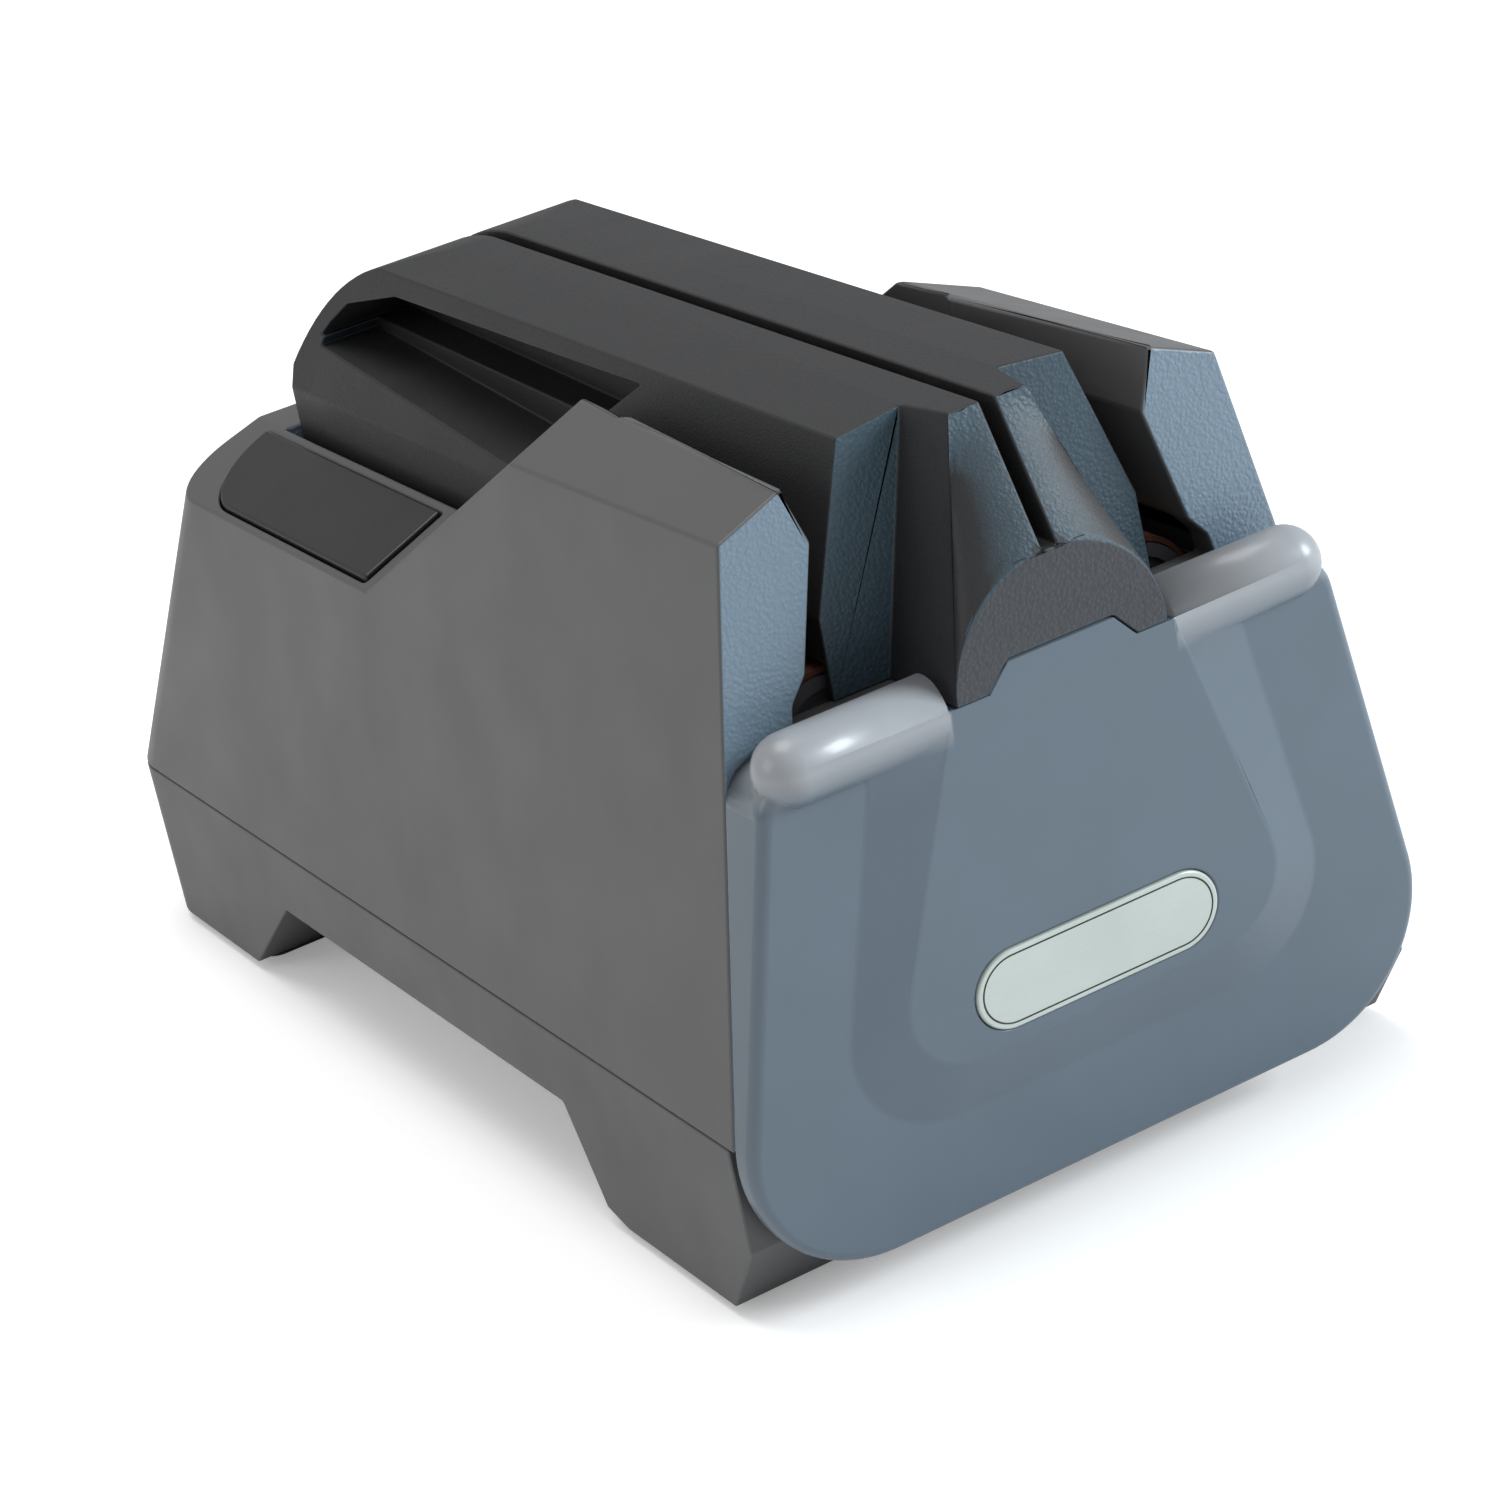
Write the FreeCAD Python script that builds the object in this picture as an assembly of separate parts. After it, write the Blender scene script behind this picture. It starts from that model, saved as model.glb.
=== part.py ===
import FreeCAD, Part
import math
import os

# Belt-type electric knife sharpener, in millimetres, +Z up.
# X runs across the body, Y from the front cover to the rear.
# While the pieces are made, Y is 0 on the front face of the two towers.
# At the end everything is moved so that Y 0 is the middle of the length.

# Housing, outside
BODY_WIDTH = 151.0
SIDE_LEAN = 0.20
PARTING_Z = 40.0
SHOULDER_Z = 151.0
TOWER_TOP_Z = 156.5
TOWER_CREST_X = 39.4
FACET_FALL = 0.015
RAMP_FOOT_Y = 148.0
RAMP_RISE = 0.534
DECK_Z = 110.0
DECK_RISE = 0.40
BODY_REAR_Y = 290.0
REAR_LEAN = 0.50
REAR_CORNER_R = 16.0
WALL = 3.0
JOIN_GAP = 0.3

# Base tray and its legs
LEG_BOTTOM_Z = 2.0
BELLY_Z = 24.0
FRONT_LEG_END_Y = 64.0
LEG_HEEL_LENGTH = 8.0
LEG_HEEL_RISE = 2.0
TRAY_LIP_HEIGHT = 2.0
TRAY_LIP_DROP = 9.5
TRAY_LIP_INSET = 7.0
REAR_LEG_FLARE = 2.5
REAR_LEG_START_Y = 235.0
ARCH_FRONT_Y = 74.0
ARCH_REAR_Y = 207.0
BASE_FRONT_Y = 2.0
BASE_NOSE_SETBACK = 12.0
BASE_NOSE_Z = 18.0
LEG_FLOOR = 5.0

# Rubber feet
FOOT_LENGTH = 38.0
FOOT_WIDTH = 22.0
FOOT_HEIGHT = 4.0
FOOT_CORNER_R = 4.0
FOOT_INSET_X = 3.5
FOOT_INSET_Y = 3.0

# Knife slots, written on the right-hand side
BAY_FLOOR_Z = 113.0
SLOT_NECK_X = 35.5
SLOT_NECK_Z = 145.0
SLOT_WAIST_X = 41.6
SLOT_WAIST_Z = 122.0
SLOT_STEP_X = 45.2
SLOT_STEP_Z = 117.5
SLOT_FOOT_X = 46.0
SLOT_END_Y = 120.0
CREST_JOG_Y = 61.5
CREST_JOG_LENGTH = 2.5
CREST_JOG_X = 35.2
CREST_STEP_X = 36.4
CREST_REAR_X = 35.2
BAY_CLEARANCE = 2.5

# Knife guide
GUIDE_FRONT_Y = 4.6
GUIDE_REAR_Y = 233.0
GUIDE_TOP_Z = 161.6
GUIDE_EDGE_Z = 160.0
GUIDE_CROWN_X = 10.5
GUIDE_EDGE_X = 24.4
GUIDE_KNEE_X = 34.6
GUIDE_KNEE_Z = 129.0
GUIDE_FOOT_X = 34.9
GUIDE_BEND_Y = 182.0
GUIDE_TAIL_Z = 134.0
GUIDE_CAVITY_Z = 125.0
GRIP_FRONT_Y = 76.0
GRIP_FRONT_SLANT = 44.0
GRIP_REAR_Y = 219.0
GRIP_TOP_Z = 156.5
GRIP_FLOOR_Z = 131.5
GRIP_FLOOR_RISE = 8.5
GRIP_WEB_X = 9.0
GRIP_LEDGE_X = 17.0
GRIP_LEDGE_RISE = 7.0
HONE_SLOT_WIDTH = 3.0
HONE_SLOT_FLOOR_Z = 136.0
HONE_SLOT_END_Y = 204.0
HONE_LENGTH = 60.0
HONE_HEIGHT = 14.0
HONE_THICK = 2.5
HONE_START_Y = 12.0
HONE_CLEARANCE = 0.1
NOSE_TOP_Y = -7.6
NOSE_TOP_X = 8.0
CAP_RADIUS = 23.0

# Front cover
COVER_GAP = 0.5
COVER_PROUD = 17.0
COVER_PROUD_Z = 106.0
COVER_LEAN = 0.105
COVER_BOTTOM_Z = 8.5
COVER_TOP_Z = 112.0
COVER_LOW_R = 28.0
COVER_TOP_R = 9.0
FRAME_SET_BACK = 3.5
COVER_WALL = 3.0
ROLL_RADIUS = 7.0
ROLL_INNER_X = 24.5
PANEL_TOP_X = 24.0
PANEL_LOW_X = 46.0
PANEL_BOTTOM_Z = 42.5
PANEL_CORNER_R = 14.0
BAND_WIDTH_TOP = 17.0
BAND_WIDTH_LOW = 13.0
TONGUE_TOP_X = 11.4
TONGUE_FOOT_X = 16.2
TONGUE_TOP_Z = 118.4
CAP_GAP = 0.4
PEG_RADIUS = 2.5
PEG_LENGTH = 8.0
PEG_INSET_X = 13.1
PEG_Z = 62.0
PEG_CLEARANCE = 0.3
ACCESS_INSET_X = 15.0
ACCESS_TOP_Z = 107.0

# Blank badge on the cover
BADGE_WIDTH = 54.0
BADGE_HEIGHT = 16.5
BADGE_Z = 54.0
BADGE_THICK = 1.2
BADGE_PROUD = 0.4
BADGE_GAP = 0.15

# Abrasive belt drive
BELT_LENGTH = 304.8
BELT_WIDTH = 12.7
BELT_THICK = 1.0
BELT_FRONT_Y = 9.3
BELT_GAP = 0.3
IDLER_X = 35.0
IDLER_Z = 107.0
IDLER_RADIUS = 10.0
IDLER_PIN_RADIUS = 3.0
PIN_CLEARANCE = 0.05
PIN_HEAD_RADIUS = 5.0
PIN_HEAD_THICK = 1.5
DRIVE_AXIS_Z = 51.75
ROLLER_OVERHANG = 0.6
ROLLER_END_GAP = 2.2
ROLLER_RIM = 2.5
ROLLER_RECESS = 2.0
WHEEL_RIM = 4.0
WHEEL_RECESS = 4.0
WHEEL_HUB_RADIUS = 7.0
WHEEL_HOLE_RADIUS = 4.5
WHEEL_HOLES = 6
WHEEL_WELL_GAP = 4.5
PLATE_FRONT_Y = 28.0
PLATE_THICK = 4.0
PLATE_SHELF_DEPTH = 14.0
PLATE_EAR_HEIGHT = 5.5
PLATE_EAR_DROP = 14.0
PLATE_WAIST = 30.0
PLATE_CUT_X = 13.0
PLATE_CUT_GAP = 8.0

# Motor
MOTOR_RADIUS = 22.0
MOTOR_LENGTH = 68.0
MOTOR_BOSS_RADIUS = 8.0
MOTOR_BOSS_LENGTH = 1.5
MOTOR_EDGE_R = 2.0
SHAFT_RADIUS = 2.5
SHAFT_CLEARANCE = 0.05
FAN_RADIUS = 19.0
FAN_THICK = 8.0
FAN_GAP = 3.0
FAN_BLADES = 8
FAN_BLADE_THICK = 1.6
FAN_DISC_THICK = 1.5
FAN_HUB_RADIUS = 6.0
MOTOR_SCREW_CIRCLE = 15.0
MOTOR_SCREW_RADIUS = 2.0
MOTOR_SCREW_HEAD_R = 3.8
MOTOR_SCREW_HEAD_THICK = 2.0
MOTOR_SCREW_GRIP = 7.0

# Power button on the left deck
BUTTON_EDGE_X = 2.0
BUTTON_WIDTH = 19.5
BUTTON_FRONT_Y = 152.0
BUTTON_REAR_Y = 240.0
BUTTON_ROUND_R = 17.0
BUTTON_GAP = 0.4
BUTTON_PROUD = 0.8
BUTTON_SKIRT = 8.0
BUTTON_FLANGE = 1.2
BUTTON_TRAVEL = 2.5
SWITCH_LENGTH = 20.0
SWITCH_WIDTH = 10.0
SWITCH_HEIGHT = 9.0
STEM_RADIUS = 2.0
STEM_HEIGHT = 2.0
SWITCH_OFFSET_Y = -14.0
PUSHER_HALF = 4.0
SPRING_SEAT_HALF = 5.0
BRACKET_MARGIN = 2.0
SPRING_RADIUS = 3.5
SPRING_WALL = 0.8
SPRING_OFFSET_Y = 16.0
BRACKET_THICK = 2.5
POST_RADIUS = 3.0
POST_GAP = 1.0

# Electrics and fasteners
BOARD_LENGTH = 66.0
BOARD_WIDTH = 60.0
BOARD_THICK = 1.6
BOARD_FRONT_Y = 128.0
BOARD_STANDOFF = 4.0
CAPACITOR_RADIUS = 6.0
CAPACITOR_HEIGHT = 18.0
GLAND_Z = 31.4
GLAND_BORE_R = 3.4
GLAND_WALL = 2.2
GLAND_FLANGE = 2.0
GLAND_FLANGE_GROW = 2.4
GLAND_LENGTH = 12.0
SCREW_RADIUS = 1.5
SCREW_HEAD_RADIUS = 3.2
SCREW_HEAD_THICK = 2.4
SCREW_LENGTH = 30.0
BOSS_RADIUS = 5.0
BOSS_INSET_X = 15.5
BOSS_HEIGHT = 34.0
BOSS_INSET_Y = 14.0

HALF_WIDTH = BODY_WIDTH / 2
SLANT = math.sqrt(1 + SIDE_LEAN ** 2)
REAR_SLANT = math.sqrt(1 + REAR_LEAN ** 2)
TRAY_FLOOR_Z = BELLY_Z + WALL
LEG_FLOOR_Z = LEG_BOTTOM_Z + LEG_FLOOR
PLATE_REAR_Y = PLATE_FRONT_Y + PLATE_THICK
MOTOR_REAR_Y = PLATE_REAR_Y + MOTOR_LENGTH
FAN_FRONT_Y = MOTOR_REAR_Y + FAN_GAP
MOTOR_SCREW_XS = (-MOTOR_SCREW_CIRCLE, MOTOR_SCREW_CIRCLE)
BELT_REAR_Y = BELT_FRONT_Y + BELT_WIDTH
ROLLER_FRONT_Y = BELT_FRONT_Y - ROLLER_OVERHANG
ROLLER_REAR_Y = BELT_REAR_Y + ROLLER_OVERHANG
FAR = 400.0


def vec(x, y, z):
    return FreeCAD.Vector(x, y, z)


def box(x0, x1, y0, y1, z0, z1):
    return Part.makeBox(x1 - x0, y1 - y0, z1 - z0, vec(x0, y0, z0))


def prism_xz(points, y0, y1):
    """Solid whose outline is drawn on X and Z, from y0 to y1."""
    wire = Part.makePolygon([vec(x, y0, z) for x, z in points + points[:1]])
    return Part.Face(wire).extrude(vec(0, y1 - y0, 0))


def prism_yz(points, x0, x1):
    """Solid whose outline is drawn on Y and Z, from x0 to x1."""
    wire = Part.makePolygon([vec(x0, y, z) for y, z in points + points[:1]])
    return Part.Face(wire).extrude(vec(x1 - x0, 0, 0))


def rod(radius, x, z, y0, y1):
    """Round bar along Y."""
    return Part.makeCylinder(radius, y1 - y0, vec(x, y0, z), vec(0, 1, 0))


def post(radius, x, y, z0, z1):
    """Round bar along Z."""
    return Part.makeCylinder(radius, z1 - z0, vec(x, y, z0), vec(0, 0, 1))


def mirrored(points):
    """Right-hand outline and its copy on the left, as one closed outline."""
    return points + [(-x, z) for x, z in reversed(points)]


def fused(shapes):
    whole = shapes[0]
    for shape in shapes[1:]:
        whole = whole.fuse(shape)
    return whole.removeSplitter()


def side_x(z):
    """Outer half-width of the leaning sides at a height."""
    return HALF_WIDTH - SIDE_LEAN * (z - PARTING_Z)


BUTTON_OUTER_X = side_x(DECK_Z) - BUTTON_EDGE_X
BUTTON_INNER_X = BUTTON_OUTER_X - BUTTON_WIDTH
PEG_X = side_x(PEG_Z) - PEG_INSET_X
ACCESS_HALF_WIDTH = side_x(ACCESS_TOP_Z) - ACCESS_INSET_X


def rear_y(z):
    """Outer rear face of the upper housing at a height."""
    return BODY_REAR_Y - REAR_LEAN * (z - PARTING_Z)


def deck_z(x):
    """Height of the sloping rear deck at a distance from the middle."""
    return DECK_Z + DECK_RISE * (side_x(DECK_Z) - abs(x))


def cover_y(z, set_back=0.0):
    """Leaning front plane of the cover at a height."""
    return -COVER_PROUD + COVER_LEAN * (COVER_PROUD_Z - z) + set_back


def ridge_edges(solid, radius):
    """Round the two rear corner edges of a housing block."""
    edges = []
    for edge in solid.Edges:
        ends = [v.Point for v in edge.Vertexes]
        tall = abs(ends[0].z - ends[-1].z) > 20
        rear = min(p.y for p in ends) > rear_y(DECK_Z) - 3 * WALL
        outer = min(abs(p.x) for p in ends) > side_x(DECK_Z) - 3 * WALL
        if tall and rear and outer:
            edges.append(edge)
    return solid.makeFillet(radius, edges)


def below_roof(y, length, slope, ridge_z, climb):
    """Everything under a ridge roof that falls with the distance from the middle.

    It starts at y, runs over a length along Y, and climbs by climb per step of Y.
    """
    halves = []
    for side in (-1, 1):
        points = [vec(0, y, -FAR), vec(0, y, ridge_z),
                  vec(side * FAR, y, ridge_z - slope * FAR), vec(side * FAR, y, -FAR)]
        face = Part.Face(Part.makePolygon(points + points[:1]))
        halves.append(face.extrude(vec(0, length, length * climb)))
    return halves[0].fuse(halves[1]).removeSplitter()


def housing_block(inset):
    """Outer form of the upper housing, or its inner form when inset."""
    bottom = PARTING_Z if inset == 0 else PARTING_Z - 1
    side = inset * SLANT
    front = inset
    high = TOWER_TOP_Z - inset
    sides = [(side_x(bottom) - side, bottom), (side_x(high) - side, high)]
    ramp_drop = inset * math.sqrt(1 + RAMP_RISE ** 2 + DECK_RISE ** 2)
    facet = (TOWER_TOP_Z - SHOULDER_Z) / (side_x(SHOULDER_Z) - TOWER_CREST_X)
    facet_drop = inset * math.hypot(1, facet)
    towers = prism_xz(mirrored(sides), front, RAMP_FOOT_Y)
    towers = towers.common(below_roof(RAMP_FOOT_Y, -FAR, DECK_RISE, deck_z(0) - ramp_drop, -RAMP_RISE))
    towers = towers.common(below_roof(-1, FAR, facet, TOWER_TOP_Z + facet * TOWER_CREST_X - facet_drop,
                                      -FACET_FALL))
    inner_x = GUIDE_FOOT_X + BAY_CLEARANCE
    lower = mirrored([
        (side_x(bottom) - side, bottom),
        (side_x(DECK_Z - inset) - side, DECK_Z - inset),
        (inner_x, deck_z(inner_x) - inset),
    ])
    rear = inset * REAR_SLANT
    top = deck_z(inner_x) + 1
    tail = [(front, bottom), (front, top), (rear_y(top) - rear, top), (rear_y(bottom) - rear, bottom)]
    deck = prism_xz(lower, front, BODY_REAR_Y + 2).common(prism_yz(tail, -HALF_WIDTH, HALF_WIDTH))
    return fused([towers, ridge_edges(deck, REAR_CORNER_R - inset)])


def slot_mouth(wall):
    """Flared upper part of both knife slots, which narrows towards the rear."""
    top = TOWER_TOP_Z + 2 * WALL
    flare = (top - SLOT_NECK_Z) / (TOWER_TOP_Z - SLOT_NECK_Z)
    ramp_y = RAMP_FOOT_Y - (TOWER_TOP_Z - deck_z(CREST_REAR_X)) / RAMP_RISE
    stations = [(-1, TOWER_CREST_X, CREST_JOG_Y, CREST_JOG_X),
                (CREST_JOG_Y, CREST_JOG_X, CREST_JOG_Y + CREST_JOG_LENGTH, CREST_STEP_X),
                (CREST_JOG_Y + CREST_JOG_LENGTH, CREST_STEP_X, ramp_y, CREST_REAR_X),
                (ramp_y, CREST_REAR_X, SLOT_END_Y + wall, CREST_REAR_X)]
    spans = []
    for near_y, near_x, far_y, far_x in stations:
        ends = []
        for y, x in ((near_y, near_x), (far_y, far_x)):
            top_x = SLOT_NECK_X + (x - SLOT_NECK_X) * flare
            outline = mirrored([(SLOT_NECK_X + wall, SLOT_NECK_Z), (top_x + wall, top)])
            ends.append(Part.makePolygon([vec(px, y, pz) for px, pz in outline + outline[:1]]))
        spans.append(Part.makeLoft(ends, True, True))
    return fused(spans)


def guide_bay(wall):
    """Space between the towers for the guide, or that space with its walls."""
    floor = BAY_FLOOR_Z - wall
    slots = prism_xz(mirrored([
        (SLOT_FOOT_X + wall, floor),
        (SLOT_STEP_X + wall, SLOT_STEP_Z),
        (SLOT_WAIST_X + wall, SLOT_WAIST_Z),
        (SLOT_NECK_X + wall, SLOT_NECK_Z),
    ]), -1, SLOT_END_Y + wall)
    half = GUIDE_FOOT_X + BAY_CLEARANCE + wall
    rear = box(-half, half, SLOT_END_Y, GUIDE_REAR_Y + BAY_CLEARANCE + wall, floor, TOWER_TOP_Z + 2 * WALL)
    return fused([slots, slot_mouth(wall), rear])


def button_outline(grow):
    """Plan of the button, with its outer rear corner rounded off."""
    inner = -(BUTTON_INNER_X - grow)
    outer = -(BUTTON_OUTER_X + grow)
    front = BUTTON_FRONT_Y - grow
    rear = BUTTON_REAR_Y + grow
    radius = BUTTON_ROUND_R + grow
    centre_x = outer + radius
    centre_y = rear - radius
    middle = vec(centre_x - radius * math.sqrt(0.5), centre_y + radius * math.sqrt(0.5), 0)
    edges = [
        Part.makeLine(vec(inner, rear, 0), vec(inner, front, 0)),
        Part.makeLine(vec(inner, front, 0), vec(outer, front, 0)),
        Part.makeLine(vec(outer, front, 0), vec(outer, centre_y, 0)),
        Part.Arc(vec(outer, centre_y, 0), middle, vec(centre_x, rear, 0)).toShape(),
        Part.makeLine(vec(centre_x, rear, 0), vec(inner, rear, 0)),
    ]
    return Part.Face(Part.Wire(edges))


def below_deck(lift):
    """Everything on the left side under the deck plane moved up by lift."""
    return prism_xz([
        (-FAR, 0),
        (-FAR, deck_z(FAR) + lift),
        (0, deck_z(0) + lift),
        (0, 0),
    ], BUTTON_FRONT_Y - 20, BUTTON_REAR_Y + 20)


def boss_places():
    """Middles of the four screws that join tray and housing."""
    rows = (ARCH_FRONT_Y + BOSS_INSET_Y, ARCH_REAR_Y - BOSS_INSET_Y)
    return [(side * (HALF_WIDTH - BOSS_INSET_X), y) for side in (-1, 1) for y in rows]


def bracket_z():
    """Top of the plate that carries the switch under the button."""
    flange_bottom = deck_z(BUTTON_OUTER_X) + BUTTON_PROUD - BUTTON_SKIRT
    return flange_bottom - BUTTON_TRAVEL - JOIN_GAP - STEM_HEIGHT - SWITCH_HEIGHT


def button_middle():
    x = -(BUTTON_INNER_X + BUTTON_OUTER_X) / 2
    return x, (BUTTON_FRONT_Y + BUTTON_REAR_Y) / 2


def bracket_posts():
    """Middles of the two posts that carry the switch plate."""
    x, _ = button_middle()
    reach = BUTTON_FLANGE + POST_GAP + POST_RADIUS
    return [(x, BUTTON_FRONT_Y - reach), (x, BUTTON_REAR_Y + reach)]


def make_upper_housing():
    outer = housing_block(0)
    hollow = housing_block(WALL).cut(guide_bay(WALL))
    shell = outer.cut(hollow).cut(guide_bay(0))
    window_x = IDLER_X + IDLER_RADIUS + BELT_THICK + 2.5
    shell = shell.cut(box(-window_x, window_x, ROLLER_FRONT_Y - ROLLER_END_GAP, PLATE_REAR_Y + 2,
                          IDLER_Z - 3, IDLER_Z + IDLER_RADIUS + 4))
    shell = shell.cut(box(-ACCESS_HALF_WIDTH, ACCESS_HALF_WIDTH, -1, WALL + 1, PARTING_Z - 1, ACCESS_TOP_Z))
    for side in (-1, 1):
        shell = shell.cut(rod(PEG_RADIUS + PEG_CLEARANCE, side * PEG_X, PEG_Z, -1, WALL + 1))
    hole = button_outline(BUTTON_GAP).extrude(vec(0, 0, FAR))
    shell = shell.cut(hole)
    # screw bosses with a rib to the side wall, and posts for the switch plate
    extras = []
    for x, y in boss_places():
        side = math.copysign(1, x)
        top = PARTING_Z + BOSS_HEIGHT
        boss = post(BOSS_RADIUS, x, y, PARTING_Z, top)
        reach = sorted((x, side * HALF_WIDTH))
        boss = boss.fuse(box(reach[0], reach[1], y - WALL / 2, y + WALL / 2, PARTING_Z, top))
        boss = boss.common(outer)
        extras.append(boss.cut(post(SCREW_RADIUS + PIN_CLEARANCE, x, y, PARTING_Z - 1, top - WALL)))
    for x, y in bracket_posts():
        extras.append(post(POST_RADIUS, x, y, bracket_z(), deck_z(x) - WALL / 2).common(outer))
    return fused([shell] + extras)


def tray_profile():
    """Side view of the tray, with its two legs and the rounded-under rear."""
    leg_rear = BODY_REAR_Y - TRAY_LIP_INSET + REAR_LEG_FLARE
    return [
        (BASE_FRONT_Y, PARTING_Z),
        (BASE_FRONT_Y, BASE_NOSE_Z),
        (BASE_FRONT_Y + BASE_NOSE_SETBACK, LEG_BOTTOM_Z),
        (FRONT_LEG_END_Y - LEG_HEEL_LENGTH, LEG_BOTTOM_Z),
        (FRONT_LEG_END_Y, LEG_BOTTOM_Z + LEG_HEEL_RISE),
        (ARCH_FRONT_Y, BELLY_Z),
        (ARCH_REAR_Y, BELLY_Z),
        (REAR_LEG_START_Y, LEG_BOTTOM_Z),
        (leg_rear - LEG_HEEL_LENGTH, LEG_BOTTOM_Z),
        (leg_rear, LEG_BOTTOM_Z + LEG_HEEL_RISE),
        (BODY_REAR_Y - TRAY_LIP_INSET, PARTING_Z - TRAY_LIP_DROP),
        (BODY_REAR_Y - TRAY_LIP_INSET / 3, PARTING_Z - TRAY_LIP_DROP / 2),
        (BODY_REAR_Y, PARTING_Z - TRAY_LIP_HEIGHT),
        (BODY_REAR_Y, PARTING_Z),
    ]


def foot_places():
    """Middle of each rubber foot, under the legs."""
    out = HALF_WIDTH - FOOT_INSET_X - FOOT_WIDTH / 2
    front = BASE_FRONT_Y + BASE_NOSE_SETBACK + FOOT_INSET_Y + FOOT_LENGTH / 2
    rear = BODY_REAR_Y - TRAY_LIP_INSET + REAR_LEG_FLARE - LEG_HEEL_LENGTH - FOOT_INSET_Y - FOOT_LENGTH / 2
    return {
        "foot_front_left": (-out, front),
        "foot_front_right": (out, front),
        "foot_rear_left": (-out, rear),
        "foot_rear_right": (out, rear),
    }


def foot_block(x, y, grow):
    half_x = FOOT_WIDTH / 2 + grow
    half_y = FOOT_LENGTH / 2 + grow
    pad = box(x - half_x, x + half_x, y - half_y, y + half_y, 0, FOOT_HEIGHT)
    return pad.makeFillet(FOOT_CORNER_R, [e for e in pad.Edges if e.BoundBox.ZLength > 1])


def rounded_plan(half, front, rear, z0, z1, radius):
    """Straight block with its two rear corners rounded in plan."""
    block = box(-half, half, front, rear, z0, z1)
    corners = [e for e in block.Edges
               if e.BoundBox.XLength < 0.1 and e.BoundBox.YLength < 0.1 and e.CenterOfMass.y > rear - 1]
    return block.makeFillet(radius, corners)


def make_base_tray():
    plan = rounded_plan(HALF_WIDTH, BASE_FRONT_Y, BODY_REAR_Y, 0, PARTING_Z, REAR_CORNER_R)
    solid = plan.common(prism_yz(tray_profile(), -HALF_WIDTH, HALF_WIDTH))
    inner = HALF_WIDTH - WALL
    front = BASE_FRONT_Y + WALL
    rear = BODY_REAR_Y - TRAY_LIP_INSET - WALL
    cavity = rounded_plan(inner, front, rear, TRAY_FLOOR_Z, PARTING_Z + 1, REAR_CORNER_R - WALL)
    wall_y = FRONT_LEG_END_Y - WALL
    front_well = box(-inner, inner, BASE_FRONT_Y + BASE_NOSE_SETBACK, wall_y, LEG_FLOOR_Z, TRAY_FLOOR_Z)
    well_x = DRIVE_RADIUS + BELT_GAP + BELT_THICK + WHEEL_WELL_GAP
    well_z = DRIVE_AXIS_Z - well_x
    belt_well = box(-well_x, well_x, ROLLER_FRONT_Y - ROLLER_END_GAP, wall_y, well_z, TRAY_FLOOR_Z)
    rear_well = box(REAR_CORNER_R - inner, inner - REAR_CORNER_R, REAR_LEG_START_Y, rear, LEG_FLOOR_Z,
                    TRAY_FLOOR_Z)
    tray = solid.cut(cavity).cut(front_well).cut(belt_well).cut(rear_well)
    for x, y in foot_places().values():
        tray = tray.cut(foot_block(x, y, JOIN_GAP))
    extras = [post(BOSS_RADIUS + 1, x, y, BELLY_Z, PARTING_Z) for x, y in boss_places()]
    extras += [post(POST_RADIUS, x, y, TRAY_FLOOR_Z - 1, TRAY_FLOOR_Z + BOARD_STANDOFF) for x, y in board_posts()]
    tray = fused([tray] + extras)
    for x, y in boss_places():
        tray = tray.cut(post(SCREW_RADIUS + JOIN_GAP, x, y, BELLY_Z - 1, PARTING_Z + 1))
        tray = tray.cut(post(SCREW_HEAD_RADIUS + JOIN_GAP, x, y, BELLY_Z - 1, BELLY_Z + SCREW_HEAD_THICK + 1))
    return tray.cut(rod(GLAND_BORE_R + GLAND_WALL, 0, GLAND_Z, rear - 1, BODY_REAR_Y + 1))


def rounded_trapezoid(place, top_x, top_z, lean, low_z, top_r, low_r):
    """Symmetric closed outline with leaning sides and rounded corners.

    place turns a point on X and Z into a point of the outline's own plane.
    """
    low_x = top_x + lean * (top_z - low_z)
    along = (lean / math.hypot(1, lean), -1 / math.hypot(1, lean))
    low_open = math.atan2(1, lean)
    top_open = math.pi - low_open
    low_t = low_r / math.tan(low_open / 2)
    top_t = top_r / math.tan(top_open / 2)

    def bend(corner, start, end, opening, radius):
        """Arc from start to end, tangent to both sides of a corner."""
        mid = ((start[0] + end[0]) / 2, (start[1] + end[1]) / 2)
        reach = math.hypot(corner[0] - mid[0], corner[1] - mid[1])
        share = (radius / math.sin(opening / 2) - radius) / reach
        top = (corner[0] + (mid[0] - corner[0]) * share, corner[1] + (mid[1] - corner[1]) * share)
        return start, top, end

    low = bend((low_x, low_z), (low_x - low_t * along[0], low_z - low_t * along[1]),
               (low_x - low_t, low_z), low_open, low_r)
    top = bend((top_x, top_z), (top_x - top_t, top_z),
               (top_x + top_t * along[0], top_z + top_t * along[1]), top_open, top_r)
    edges = []
    for side in (1, -1):
        def at(point, side=side):
            return place(side * point[0], point[1])
        edges.append(Part.Arc(*[at(point) for point in top]).toShape())
        edges.append(Part.makeLine(at(top[2]), at(low[0])))
        edges.append(Part.Arc(*[at(point) for point in low]).toShape())
    edges.append(Part.makeLine(place(-top[0][0], top_z), place(top[0][0], top_z)))
    edges.append(Part.makeLine(place(low[2][0], low_z), place(-low[2][0], low_z)))
    return Part.Wire(Part.__sortEdges__(edges))


def cover_outline(inset):
    """Outline of the cover on X and Z, at y 0."""
    return rounded_trapezoid(lambda x, z: vec(x, 0, z), side_x(COVER_TOP_Z) - inset * SLANT, COVER_TOP_Z,
                             SIDE_LEAN, COVER_BOTTOM_Z + inset, COVER_TOP_R, COVER_LOW_R - inset)


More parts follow.
